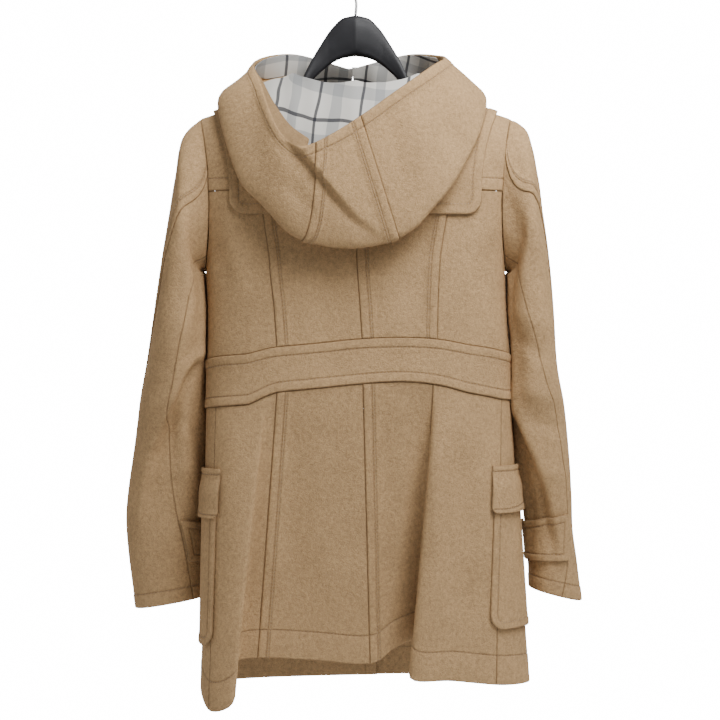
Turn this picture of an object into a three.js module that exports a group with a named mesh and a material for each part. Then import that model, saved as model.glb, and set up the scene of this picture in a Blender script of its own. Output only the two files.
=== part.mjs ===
// Duffle coat with its hood down, hanging on a plastic hanger.
// Millimetres, +Z up. The origin is the inside top of the hanger's hook.
// The back of the coat faces +Y, the front faces -Y and the wearer's left is +X.
import * as THREE from 'three';

// Cloth and the gaps left where pieces meet
const CLOTH = 2.4;
const LINING = 0.8;
const LINING_GAP = 0.4;
const SEAM = 0.3;
const BAND_SEAM = 0.8;
const ARMHOLE_SEAM = 1.3;
const OVERLAY = CLOTH + 1.3;
const LAID_GAP = 0.7;
const BAND_PROUD = 1.0;

// Heights of the coat's own levels
const CHEST = -297;
const UNDERARM = -392;
const SHOULDER = -202;
const WAIST_LEVEL = -190;

// Shoulder line and armhole
const SHOULDER_X = 193;
const SHOULDER_SLOPE = 0.34;
const CHEST_EDGE_X = 179.5;
const ARMHOLE_LEAN = 3.5;
const ARMHOLE_BOW = 10;
const ARMHOLE_HALF_DEPTH = 50;
const ARMHOLE_HALF_HEIGHT = CHEST - UNDERARM;

// Neck, measured where the cloth passes the chest level
const NECK_HALF_WIDTH = 72.5;
const NECK_BACK_TURN = 48.9;
const NECK_FRONT_TURN = 20.8;
const YOKE_SEAM_TURN = 0.12;

// Front edges: the right front laps over the left one
const LEFT_FRONT_EDGE_X = -21;
const RIGHT_FRONT_EDGE_X = 25;
const LAP_LIFT = 3.3;
const LAP_START_X = -92;
const LAP_FULL_X = -48;

// Sections of the body, from the chest to the bottom of the waistband
const BODY_END = -575;
const BODY = [
  { z: -297, middle: 0, half_width: 186, back: 78, front: 80, squareness: 3.2 },
  { z: -392, middle: 0, half_width: 186, back: 77, front: 83, squareness: 3.1 },
  { z: -440, middle: -2, half_width: 186, back: 75, front: 84, squareness: 3.0 },
  { z: -500, middle: -4, half_width: 189, back: 74, front: 84, squareness: 2.9 },
  { z: -575, middle: -4, half_width: 190, back: 75, front: 85, squareness: 2.8 },
];

// Edges of the waistband around the body, by angle from the left side
const BAND = [
  { angle: 0, top: -505, bottom: -564 },
  { angle: 50, top: -496, bottom: -557 },
  { angle: 60, top: -488, bottom: -543 },
  { angle: 72, top: -484, bottom: -538 },
  { angle: 90, top: -478, bottom: -532 },
  { angle: 106, top: -476, bottom: -529 },
  { angle: 118, top: -478, bottom: -533 },
  { angle: 130, top: -485, bottom: -543 },
  { angle: 148, top: -492, bottom: -551 },
  { angle: 180, top: -500, bottom: -554 },
  { angle: 225, top: -504, bottom: -560 },
  { angle: 270, top: -508, bottom: -566 },
  { angle: 315, top: -508, bottom: -568 },
];

// Sections down the skirt, a row for each fold, from the left side over the back
const SKIRT = [
  { waist: 0, hem_x: 193, hem_y: 0, hem_z: -910 },
  { waist: 33, hem_x: 178, hem_y: 50, hem_z: -932 },
  { waist: 55, hem_x: 147, hem_y: 72, hem_z: -917 },
  { waist: 58, hem_x: 152, hem_y: 34, hem_z: -880 },
  { waist: 61, hem_x: 121, hem_y: 27, hem_z: -871 },
  { waist: 76, hem_x: 55, hem_y: 24, hem_z: -874 },
  { waist: 91.5, hem_x: -18, hem_y: 27, hem_z: -878 },
  { waist: 104, hem_x: -50, hem_y: 17, hem_z: -860 },
  { waist: 115, hem_x: -84, hem_y: -2, hem_z: -852 },
  { waist: 118.5, hem_x: -66, hem_y: 66, hem_z: -889 },
  { waist: 131, hem_x: -118, hem_y: 64, hem_z: -893 },
  { waist: 152, hem_x: -180, hem_y: 47, hem_z: -901 },
  { waist: 180, hem_x: -217, hem_y: 0, hem_z: -905 },
  { waist: 205, hem_x: -200, hem_y: -52, hem_z: -907 },
  { waist: 235, hem_x: -130, hem_y: -87, hem_z: -910 },
  { waist: 270, hem_x: -18, hem_y: -95, hem_z: -913 },
  { waist: 305, hem_x: 105, hem_y: -88, hem_z: -915 },
  { waist: 335, hem_x: 176, hem_y: -50, hem_z: -913 },
];
const LEFT_PRINCESS_ROW = 4;
const CENTRE_BACK_ROW = 6;
const RIGHT_PRINCESS_ROW = 8.3;
const RIGHT_SIDE_ROW = 10.85;
const LEFT_SIDE_ROW = 0.95;
const SKIRT_SEAM_DROP = 0.0032;

// Princess seams of the bodice, as the angle at the chest and at the waistband
const PRINCESS = { left_top: 58, left_waist: 61, centre_top: 90, centre_waist: 91.5, right_top: 122, right_waist: 118 };

// Sleeves from the armhole to the cuff: outer and inner edge, depth and the angles of the seams
const LEFT_SLEEVE = [
  { outer_x: 215, outer_z: -226, inner_x: 197, inner_z: -396, middle_y: 2, half_depth: 56, back_seam: 92, low_seam: 146 },
  { outer_x: 224, outer_z: -275, inner_x: 195, inner_z: -406, middle_y: 3, half_depth: 60, back_seam: 76, low_seam: 140 },
  { outer_x: 233, outer_z: -330, inner_x: 190.5, inner_z: -422, middle_y: 3, half_depth: 60, back_seam: 60, low_seam: 130 },
  { outer_x: 242, outer_z: -384, inner_x: 190, inner_z: -450, middle_y: 2, half_depth: 57, back_seam: 46, low_seam: 116 },
  { outer_x: 250, outer_z: -445, inner_x: 192, inner_z: -495, middle_y: 0, half_depth: 54, back_seam: 30, low_seam: 104 },
  { outer_x: 260, outer_z: -505, inner_x: 194.5, inner_z: -545, middle_y: -10, half_depth: 52, back_seam: 14, low_seam: 96 },
  { outer_x: 271, outer_z: -555, inner_x: 197, inner_z: -592, middle_y: -22, half_depth: 50, back_seam: 2, low_seam: 92 },
  { outer_x: 280, outer_z: -611, inner_x: 195, inner_z: -642, middle_y: -35, half_depth: 48, back_seam: -8, low_seam: 98 },
  { outer_x: 290, outer_z: -672, inner_x: 192, inner_z: -694, middle_y: -46, half_depth: 46, back_seam: -14, low_seam: 108 },
  { outer_x: 293, outer_z: -710, inner_x: 190, inner_z: -727, middle_y: -52, half_depth: 45, back_seam: -18, low_seam: 116 },
  { outer_x: 290, outer_z: -755, inner_x: 189, inner_z: -762, middle_y: -56, half_depth: 43, back_seam: -20, low_seam: 122 },
  { outer_x: 282, outer_z: -820, inner_x: 188, inner_z: -803, middle_y: -60, half_depth: 41, back_seam: -20, low_seam: 128 },
];
const RIGHT_SLEEVE = [
  { outer_x: 214, outer_z: -219, inner_x: 197, inner_z: -396, middle_y: 2, half_depth: 56, back_seam: 84, low_seam: 146 },
  { outer_x: 227, outer_z: -275, inner_x: 196, inner_z: -406, middle_y: 3, half_depth: 60, back_seam: 60, low_seam: 138 },
  { outer_x: 234, outer_z: -330, inner_x: 191.5, inner_z: -422, middle_y: 3, half_depth: 58, back_seam: 38, low_seam: 126 },
  { outer_x: 241, outer_z: -390, inner_x: 192, inner_z: -450, middle_y: 2, half_depth: 55, back_seam: 18, low_seam: 112 },
  { outer_x: 247, outer_z: -448, inner_x: 196.8, inner_z: -495, middle_y: 0, half_depth: 52, back_seam: 2, low_seam: 96 },
  { outer_x: 252, outer_z: -510, inner_x: 198.5, inner_z: -545, middle_y: -3, half_depth: 50, back_seam: -8, low_seam: 76 },
  { outer_x: 262, outer_z: -560, inner_x: 201, inner_z: -592, middle_y: -14, half_depth: 48, back_seam: -14, low_seam: 62 },
  { outer_x: 269, outer_z: -622, inner_x: 205, inner_z: -640, middle_y: -22, half_depth: 46, back_seam: -18, low_seam: 54 },
  { outer_x: 273, outer_z: -674, inner_x: 212, inner_z: -690, middle_y: -30, half_depth: 44, back_seam: -20, low_seam: 50 },
  { outer_x: 275, outer_z: -716, inner_x: 216, inner_z: -726, middle_y: -35, half_depth: 43, back_seam: -20, low_seam: 52 },
  { outer_x: 281, outer_z: -758, inner_x: 219, inner_z: -758, middle_y: -38, half_depth: 42, back_seam: -20, low_seam: 62 },
  { outer_x: 287, outer_z: -807, inner_x: 221, inner_z: -791, middle_y: -40, half_depth: 41, back_seam: -20, low_seam: 84 },
];
const FRONT_SLEEVE_SEAM = 215;
const SLEEVE_SQUARENESS = 2.25;

// Strap across the back of the cuff, by rows of the sleeve and by angle
const STRAP_TOP_ROW = 8.4;
const STRAP_BOTTOM_ROW = 9.9;
const STRAP_SEAM_GAP = 2;
const STRAP_END = 205;
const STRAP_LIFT = CLOTH + 1;

// The hood, a row for each section from the left front of the neck over the back to the right front:
// the edge of its opening, the roll it turns round and the neck seam as an angle from the left side
const HOOD = [
  { edge_x: 12, edge_y: -52, edge_z: -134, roll_x: 16, roll_y: -74, roll_z: -196, neck: -84 },
  { edge_x: 78, edge_y: -34, edge_z: -116, roll_x: 98, roll_y: -48, roll_z: -160, neck: -42 },
  { edge_x: 124, edge_y: 8, edge_z: -132, roll_x: 142, roll_y: -10, roll_z: -158, neck: -12 },
  { edge_x: 114, edge_y: 62, edge_z: -168, roll_x: 170, roll_y: 30, roll_z: -190, neck: 8 },
  { edge_x: 98, edge_y: 104, edge_z: -212, roll_x: 142, roll_y: 86, roll_z: -282, neck: 30 },
  { edge_x: 84, edge_y: 120, edge_z: -238, roll_x: 112, roll_y: 102, roll_z: -318, neck: 46 },
  { edge_x: 62, edge_y: 126, edge_z: -251, roll_x: 70, roll_y: 108, roll_z: -358, neck: 62 },
  { edge_x: 28, edge_y: 130, edge_z: -237, roll_x: 3, roll_y: 110, roll_z: -371, neck: 90 },
  { edge_x: -12, edge_y: 124, edge_z: -211, roll_x: -60, roll_y: 108, roll_z: -355, neck: 118 },
  { edge_x: -44, edge_y: 116, edge_z: -187, roll_x: -96, roll_y: 102, roll_z: -320, neck: 134 },
  { edge_x: -72, edge_y: 104, edge_z: -166, roll_x: -124, roll_y: 90, roll_z: -283, neck: 148 },
  { edge_x: -96, edge_y: 78, edge_z: -146, roll_x: -154, roll_y: 60, roll_z: -224, neck: 164 },
  { edge_x: -108, edge_y: 40, edge_z: -134, roll_x: -160, roll_y: 14, roll_z: -178, neck: 178 },
  { edge_x: -104, edge_y: 2, edge_z: -124, roll_x: -126, roll_y: -20, roll_z: -152, neck: 196 },
  { edge_x: -66, edge_y: -38, edge_z: -116, roll_x: -88, roll_y: -54, roll_z: -162, neck: 222 },
  { edge_x: -4, edge_y: -56, edge_z: -131, roll_x: -10, roll_y: -80, roll_z: -196, neck: 262 },
];
const HOOD_LEFT_SEAM_ROW = 6.1;
const HOOD_LEFT_SEAM_LEAN = 0.4;
const HOOD_RIGHT_SEAM_ROW = 7.85;
const HOOD_CLEAR = 9;
const PUSH_SHARPNESS = 10;
const HOOD_SEAT = 5.2;

// The cape that lies over the yoke
const CAPE_EDGE_CHEST_X = 152;
const CAPE_EDGE_SHOULDER_X = 164;
const CAPE_DROP = 30;
const CAPE_CORNER = 20;
const CAPE_FRONT_X = 32;

// Pockets, measured along the skirt's side from their rear edges
const POCKET_LENGTH = 168;
const POCKET_CORNER = 20;
const LEFT_POCKET = { rear_row: 1.1, top: -668, bottom: -854, flap_top: -636, flap_bottom: -697 };
const RIGHT_POCKET = { rear_row: 10.66, top: -662, bottom: -833, flap_top: -632, flap_bottom: -690 };
const FLAP_OVERHANG = 5;
const FLAP_CORNER = 8;

// Toggles down the front
const TOGGLE_HEIGHTS = [-352, -448, -618];
const TOGGLE_LENGTH = 48;
const TOGGLE_RADIUS = 6.5;
const TOGGLE_X = 40;
const TOGGLE_PATCH_X = 92;
const LOOP_SPREAD = 5;
const LOOP_RADIUS = 2;
const LOOP_LIFT = 3;
const LOOP_PATCH_X = -48;
const PATCH_HALF_WIDTH = 17;
const PATCH_HALF_HEIGHT = 15;
const PATCH_THICKNESS = 1.6;

// Hanger, sections across the shoulders
const HANGER = [
  { x: 0, top: -72, bottom: -123, half_depth: 10 },
  { x: 18, top: -76, bottom: -126, half_depth: 10 },
  { x: 33, top: -92, bottom: -134, half_depth: 10 },
  { x: 53, top: -124, bottom: -152, half_depth: 10 },
  { x: 66, top: -150, bottom: -178, half_depth: 12 },
  { x: 73, top: -169.2, bottom: -190, half_depth: 13 },
  { x: 84, top: -170, bottom: -194, half_depth: 14 },
  { x: 130, top: -184.2, bottom: -207, half_depth: 18 },
  { x: 166, top: -197, bottom: -220, half_depth: 19 },
  { x: 174, top: -203, bottom: -218, half_depth: 14 },
];
const HOOK_WIRE_RADIUS = 1.75;
const HOOK_INNER_RADIUS = 18;

const wool = { color: 0xa0876a, roughness: 0.95, metalness: 0 };
const liningCloth = { color: 0xe4dfd6, roughness: 0.7, metalness: 0 };
const plastic = { color: 0x26262a, roughness: 0.45, metalness: 0 };
const steel = { color: 0xb4b6b8, roughness: 0.3, metalness: 1 };
const horn = { color: 0x4a3626, roughness: 0.4, metalness: 0 };
const leather = { color: 0x5a4330, roughness: 0.6, metalness: 0 };
const cord = { color: 0x6a5138, roughness: 0.9, metalness: 0 };

const coat = new THREE.Group();

const radians = (degrees) => (degrees * Math.PI) / 180;
const degrees = (angle) => (angle * 180) / Math.PI;
const lerp = THREE.MathUtils.lerp;
const clamp = THREE.MathUtils.clamp;
const ramp = THREE.MathUtils.smoothstep;

function addMesh(name, geometry, look) {
  const mesh = new THREE.Mesh(geometry, new THREE.MeshStandardMaterial(look));
  mesh.name = name;
  coat.add(mesh);
}

// A smooth curve through four neighbouring values, at part t of the way from b to c
function smooth(a, b, c, d, t) {
  const bend = 2 * a - 5 * b + 4 * c - d;
  const rise = 3 * b - 3 * c + d - a;
  return b + 0.5 * t * (c - a + t * (bend + t * rise));
}

// The value of a column at a row between two rows of a table that has ends
function column(table, name, row) {
  const first = clamp(Math.floor(row), 0, table.length - 2);
  const at = (index) => table[clamp(index, 0, table.length - 1)][name];
  return smooth(at(first - 1), at(first), at(first + 1), at(first + 2), row - first);
}

// The same for a table that closes on itself; turn is what the column gains in one round
function roundColumn(table, name, row, turn) {
  const count = table.length;
  const first = Math.floor(row);
  const at = (index) => {
    const rounds = Math.floor(index / count);
    return table[index - rounds * count][name] + rounds * turn;
  };
  return smooth(at(first - 1), at(first), at(first + 1), at(first + 2), row - first);
}

// The row at which a rising or falling key column has a value
function rowOf(table, key, value) {
  let row = 0;
  const falling = table[1][key] < table[0][key];
  while (row < table.length - 2 && (falling ? table[row + 1][key] > value : table[row + 1][key] < value)) row += 1;
  return row + (value - table[row][key]) / (table[row + 1][key] - table[row][key]);
}

// A closed mesh with its faces turned outwards
function closedGeometry(positions, index) {
  const corner = (k) => new THREE.Vector3().fromArray(positions, 3 * index[k]);
  let volume = 0;
  for (let k = 0; k < index.length; k += 3) {
    volume += corner(k).dot(corner(k + 1).cross(corner(k + 2)));
  }
  const turned = volume > 0 ? index : index.slice().reverse();
  const geometry = new THREE.BufferGeometry();
  geometry.setAttribute('position', new THREE.Float32BufferAttribute(positions, 3));
  geometry.setIndex(turned);
  geometry.computeVertexNormals();
  return geometry;
}

// A closed wall of cloth: surface(a, b) is its outer face, place(s, r) lays the piece out on it
function wall(name, surface, place, look, shape) {
  const { columns, rows, thickness = CLOTH, side = 1, lift = () => 0, steps = [0.02, 0.02] } = shape;
  const positions = [];
  const point = (a, b, depth) => {
    const here = surface(a, b);
    const along = surface(a + steps[0], b).sub(surface(a - steps[0], b));
    const up = surface(a, b + steps[1]).sub(surface(a, b - steps[1]));
    const normal = along.cross(up).normalize().multiplyScalar(side);
    return here.addScaledVector(normal, depth);
  };
  for (const depth of [0, -thickness]) {
    for (let j = 0; j <= rows; j += 1) {
      for (let i = 0; i <= columns; i += 1) {
        const [a, b] = place(i / columns, j / rows);
        positions.push(...point(a, b, lift(a, b) + depth).toArray());
      }
    }
  }
  const layer = (columns + 1) * (rows + 1);
  const at = (i, j, inner) => inner * layer + j * (columns + 1) + i;
  const index = [];
  const face = (a, b, c, d) => index.push(a, b, c, a, c, d);
  for (let j = 0; j < rows; j += 1) {
    for (let i = 0; i < columns; i += 1) {
      face(at(i, j, 0), at(i + 1, j, 0), at(i + 1, j + 1, 0), at(i, j + 1, 0));
      face(at(i, j, 1), at(i, j + 1, 1), at(i + 1, j + 1, 1), at(i + 1, j, 1));
    }
  }
  for (let i = 0; i < columns; i += 1) {
    face(at(i, 0, 0), at(i, 0, 1), at(i + 1, 0, 1), at(i + 1, 0, 0));
    face(at(i, rows, 0), at(i + 1, rows, 0), at(i + 1, rows, 1), at(i, rows, 1));
  }
  for (let j = 0; j < rows; j += 1) {
    face(at(0, j, 0), at(0, j + 1, 0), at(0, j + 1, 1), at(0, j, 1));
    face(at(columns, j, 0), at(columns, j, 1), at(columns, j + 1, 1), at(columns, j + 1, 0));
  }
  addMesh(name, closedGeometry(positions, index), look);
}

// A coordinate moved by a distance in millimetres along the surface
function moved(surface, a, b, distance) {
  const step = 0.01;
  const speed = surface(a + step, b).distanceTo(surface(a - step, b)) / (2 * step);
  return a + distance / speed;
}

// Cosine and sine of a squared-off ellipse
function squared(angle, squareness) {
  const c = Math.cos(radians(angle));
  const s = Math.sin(radians(angle));
  const reach = (Math.abs(c) ** squareness + Math.abs(s) ** squareness) ** (1 / squareness);
  return [c / reach, s / reach];
}

const armholeX = (w) => CHEST_EDGE_X + ARMHOLE_LEAN * w + ARMHOLE_BOW * w * w;
const shoulderTop = (x) => SHOULDER + SHOULDER_SLOPE * (SHOULDER_X - Math.abs(x));
const armholeWeight = (z) => clamp((z - CHEST) / ARMHOLE_HALF_HEIGHT, -1, 0);
const armholeDepth = (z) => ARMHOLE_HALF_DEPTH * Math.sqrt(1 - armholeWeight(z) ** 2);

// The body's section at a height, for its back or its front half
function section(z, isBack) {
  const row = rowOf(BODY, 'z', clamp(z, BODY_END, CHEST));
  const squareness = column(BODY, 'squareness', row);
  const depth = column(BODY, isBack ? 'back' : 'front', row);
  let halfWidth = column(BODY, 'half_width', row);
  if (z > UNDERARM) {
    const share = 1 - (armholeDepth(z) / depth) ** squareness;
    halfWidth = armholeX(armholeWeight(z)) / share ** (1 / squareness);
  }
  return { middle: column(BODY, 'middle', row), halfWidth, depth, squareness };
}

// The body's outer face: the angle runs from the left side over the back, the level is the
// height over the chest below it and the turn in degrees towards the shoulder above it
function body(angle, level) {
  const isBack = Math.sin(radians(angle)) > 0;
  const z = CHEST + Math.min(level, 0);
  const { middle, halfWidth, depth, squareness } = section(z, isBack);
  const [c, s] = squared(angle, squareness);
  const x = middle + halfWidth * c;
  const y = depth * s;
  if (level <= 0) return new THREE.Vector3(x, y, z);
  const w = Math.sin(radians(level));
  const spread = (x * armholeX(w)) / CHEST_EDGE_X;
  const height = shoulderTop(spread) - CHEST;
  return new THREE.Vector3(spread, y * Math.cos(radians(level)), CHEST + height * w);
}

// The angle of a place across the body, given in millimetres from its middle
function angleAt(x, z, isBack) {
  const { middle, halfWidth, squareness } = section(z, isBack);
  const across = clamp((x - middle) / halfWidth, -1, 1);
  const out = (1 - Math.abs(across) ** squareness) ** (1 / squareness);
  return degrees(Math.atan2(isBack ? out : -out, across)) + (isBack ? 0 : 360);
}

// The angle of the armhole or side seam at a level
function edgeAngle(level, isLeft, isBack) {
  const z = CHEST + Math.min(level, 0);
  const { halfWidth, depth } = section(z, isBack);
  const turn = z > UNDERARM ? degrees(Math.atan2(armholeDepth(z) / depth, armholeX(armholeWeight(z)) / halfWidth)) : 0;
  if (isBack) return isLeft ? turn : 180 - turn;
  return isLeft ? 360 - turn : 180 + turn;
}

// How far up a line over the shoulder the cloth goes before the neck
function neckTurn(x, isBack) {
  const low = isBack ? NECK_BACK_TURN : NECK_FRONT_TURN;
  const across = clamp(Math.abs(x) / NECK_HALF_WIDTH, 0, 1);
  return low + (90 - low) * (1 - Math.sqrt(1 - across * across));
}

const bandEdge = (name, angle) => {
  const around = ((angle % 360) + 360) % 360;
  const keys = [...BAND, { angle: 360 }];
  return roundColumn(BAND, name, rowOf(keys, 'angle', around), 0);
};

// The skirt's outer face: the row follows the SKIRT table, the drop runs from waistband to hem
function skirt(row, drop) {
  const angle = roundColumn(SKIRT, 'waist', row, 360);
  const top = body(angle, bandEdge('bottom', angle) - CHEST);
  const hem = new THREE.Vector3(
    roundColumn(SKIRT, 'hem_x', row, 0),
    roundColumn(SKIRT, 'hem_y', row, 0),
    roundColumn(SKIRT, 'hem_z', row, 0),
  );
  return top.lerp(hem, drop);
}

// The skirt by height, for what lies on it
function skirtAt(row, z) {
  const top = skirt(row, 0).z;
  const hem = skirt(row, 1).z;
  return skirt(row, (z - top) / (hem - top));
}

// The right front rises over the left one near the front edges
const lapLift = (x) => LAP_LIFT * ramp(x, LAP_START_X, LAP_FULL_X);

// Back of the bodice: four panels between the waistband and the yoke
const seamAngle = (top, waist, level) => lerp(top, waist, clamp(level / WAIST_LEVEL, 0, 1));
const princess = (name) => (level) => seamAngle(PRINCESS[`${name}_top`], PRINCESS[`${name}_waist`], level);

// Rows that gather where the armhole turns
function panelLevel(r, bottom) {
  const split = 0.45;
  if (r < split) return lerp(bottom, UNDERARM - CHEST, r / split);
  return (UNDERARM - CHEST) * Math.cos(radians((90 * (r - split)) / (1 - split)));
}

function bodicePanel(name, from, to, columns) {
  const place = (s, r) => {
    const guess = lerp(from(WAIST_LEVEL), to(WAIST_LEVEL), s);
    const bottom = bandEdge('top', guess) - CHEST + BAND_SEAM;
    const level = Math.min(panelLevel(r, bottom), -SEAM / 2);
    const start = moved(body, from(level), level, SEAM / 2);
    const end = moved(body, to(level), level, -SEAM / 2);
    return [lerp(start, end, s), level];
  };
  wall(name, body, place, wool, { columns, rows: 9 });
}
bodicePanel('back_side_left', (level) => edgeAngle(level, true, true), princess('left'), 6);
bodicePanel('back_centre_left', princess('left'), princess('centre'), 4);
bodicePanel('back_centre_right', princess('centre'), princess('right'), 4);
bodicePanel('back_side_right', princess('right'), (level) => edgeAngle(level, false, true), 6);

// Yoke: from the chest over the back of the shoulders to the shoulder seam and the neck
function yoke() {
  const place = (s, r) => {
    const start = moved(body, edgeAngle(0, true, true), 0, SEAM / 2);
    const end = moved(body, edgeAngle(0, false, true), 0, -SEAM / 2);
    const angle = lerp(start, end, s);
    const reach = neckTurn(body(angle, 0).x, true) - YOKE_SEAM_TURN;
    return [angle, lerp(YOKE_SEAM_TURN, reach, r)];
  };
  wall('back_yoke', body, place, wool, { columns: 18, rows: 5 });
}
yoke();

// Fronts: one panel from the waistband to the shoulder seam on each side
function front(name, isLeft) {
  const lifted = (angle, level) => {
    const here = body(angle, level);
    if (!isLeft) here.y -= lapLift(here.x);
    return here;
  };
  const edgeX = isLeft ? LEFT_FRONT_EDGE_X : RIGHT_FRONT_EDGE_X;
  const place = (s, r) => {
    const turnShare = 0.62;
    const front = angleAt(edgeX, CHEST + WAIST_LEVEL, false);
    const guess = isLeft ? lerp(front, 360, s) : lerp(180, front, s);
    const bottom = bandEdge('top', guess) - CHEST + BAND_SEAM;
    const level = r < turnShare ? panelLevel(r / turnShare, bottom) : 0;
    const middle = angleAt(edgeX, CHEST + level, false);
    const side = moved(body, edgeAngle(level, isLeft, false), level, isLeft ? -SEAM / 2 : SEAM / 2);
    const angle = isLeft ? lerp(middle, side, s) : lerp(side, middle, s);
    if (r < turnShare) return [angle, level];
    const reach = neckTurn(body(angle, 0).x, false) - YOKE_SEAM_TURN;
    return [angle, (reach * (r - turnShare)) / (1 - turnShare)];
  };
  wall(name, lifted, place, wool, { columns: 7, rows: 16 });
}
front('front_left', true);
front('front_right', false);

// Waistband: a back piece and two front pieces, standing a little proud
function band(name, from, to, columns, isLapped) {
  const lifted = (angle, level) => {
    const here = body(angle, level);
    if (isLapped) here.y -= lapLift(here.x);
    return here;
  };
  const place = (s, r) => {
    const angle = lerp(moved(body, from, WAIST_LEVEL, SEAM / 2), moved(body, to, WAIST_LEVEL, -SEAM / 2), s);
    const top = bandEdge('top', angle) - CHEST;
    const bottom = bandEdge('bottom', angle) - CHEST + BAND_SEAM;
    return [angle, lerp(bottom, top, r)];
  };
  wall(name, lifted, place, wool, { columns, rows: 2, lift: () => BAND_PROUD });
}
const BAND_MIDDLE = -537;
band('waistband_back', 0, 180, 24, false);
band('waistband_front_left', angleAt(LEFT_FRONT_EDGE_X, BAND_MIDDLE, false), 360, 10, false);
band('waistband_front_right', 180, angleAt(RIGHT_FRONT_EDGE_X, BAND_MIDDLE, false), 12, true);

// Skirt: four panels behind and two in front
function rowAtX(x, low, high) {
  let start = low;
  let end = high;
  for (let i = 0; i < 40; i += 1) {
    const middle = (start + end) / 2;
    if (skirt(middle, 0.5).x < x) start = middle;
    else end = middle;
  }
  return start;
}

function skirtPanel(name, from, to, columns, isLapped) {
  const lifted = (row, drop) => {
    const here = skirt(row, drop);
    if (isLapped) here.y -= lapLift(here.x);
    return here;
  };
  const place = (s, r) => {
    const drop = 1 - r;
    const start = moved(skirt, from, drop, SEAM / 2);
    const end = moved(skirt, to, drop, -SEAM / 2);
    return [lerp(start, end, s), Math.max(drop, SKIRT_SEAM_DROP)];
  };
  wall(name, lifted, place, wool, { columns, rows: 7, side: -1, steps: [0.002, 0.002] });
}
skirtPanel('skirt_side_left', LEFT_SIDE_ROW, LEFT_PRINCESS_ROW, 14, false);
skirtPanel('skirt_centre_left', LEFT_PRINCESS_ROW, CENTRE_BACK_ROW, 6, false);
skirtPanel('skirt_centre_right', CENTRE_BACK_ROW, RIGHT_PRINCESS_ROW, 8, false);
skirtPanel('skirt_side_right', RIGHT_PRINCESS_ROW, RIGHT_SIDE_ROW, 13, false);
skirtPanel('skirt_front_right', RIGHT_SIDE_ROW, rowAtX(RIGHT_FRONT_EDGE_X, 13, 17), 13, true);
skirtPanel('skirt_front_left', rowAtX(LEFT_FRONT_EDGE_X, 13, 17), SKIRT.length + LEFT_SIDE_ROW, 11, false);

// The armhole edge by angle: 0 on the shoulder, 90 at the back, 180 under the arm
function armhole(angle) {
  const w = Math.cos(radians(angle));
  const x = armholeX(w);
  const height = w > 0 ? shoulderTop(x) - CHEST : ARMHOLE_HALF_HEIGHT;
  return new THREE.Vector3(x + ARMHOLE_SEAM, ARMHOLE_HALF_DEPTH * Math.sin(radians(angle)), CHEST + height * w);
}

// A sleeve's outer face: angle round it and row down it, row -1 being the armhole
function sleeveFace(table, hand) {
  const ring = (index, angle) => {
    if (index < 0) return armhole(angle);
    const { outer_x, outer_z, inner_x, inner_z, middle_y, half_depth } = table[Math.min(index, table.length - 1)];
    const [c, s] = squared(angle, SLEEVE_SQUARENESS);
    return new THREE.Vector3(
      (outer_x + inner_x) / 2 + ((outer_x - inner_x) / 2) * c,
      middle_y + half_depth * s,
      (outer_z + inner_z) / 2 + ((outer_z - inner_z) / 2) * c,
    );
  };
  return (angle, row) => {
    const first = clamp(Math.floor(row), -1, table.length - 2);
    const near = [first - 1, first, first + 1, first + 2].map((index) => ring(Math.max(index, -1), angle));
    const mix = (axis) => smooth(near[0][axis], near[1][axis], near[2][axis], near[3][axis], row - first);
    return new THREE.Vector3(hand * mix('x'), mix('y'), mix('z'));
  };
}

function sleeve(side, table, hand) {
  const face = sleeveFace(table, hand);
  const last = table.length - 1;
  const seam = (name, row) => (name === 'front' ? FRONT_SLEEVE_SEAM : column(table, name, Math.max(row, -1)));
  const piece = (name, from, to, turn, columns) => {
    const place = (s, r) => {
      const row = lerp(last, -1, r);
      const start = moved(face, seam(from, row) - turn, row, SEAM / 2);
      const end = moved(face, seam(to, row), row, -SEAM / 2);
      return [lerp(start, end, s), row];
    };
    wall(`sleeve_${side}_${name}`, face, place, wool, { columns, rows: 12, side: -hand, steps: [0.02, 0.002] });
  };
  piece('top', 'front', 'back_seam', 360, 9);
  piece('back', 'back_seam', 'low_seam', 0, 4);
  piece('under', 'low_seam', 'front', 0, 5);

  // Strap across the back of the cuff, from the lower seam round to the inside
  const place = (s, r) => {
    const row = lerp(STRAP_BOTTOM_ROW, STRAP_TOP_ROW, r);
    return [lerp(seam('low_seam', row) + STRAP_SEAM_GAP, STRAP_END, s), row];
  };
  const shape = { columns: 8, rows: 2, side: -hand, lift: () => STRAP_LIFT, steps: [0.02, 0.002] };
  wall(`cuff_strap_${side}`, face, place, wool, shape);
}
sleeve('left', LEFT_SLEEVE, 1);
sleeve('right', RIGHT_SLEEVE, -1);

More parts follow.
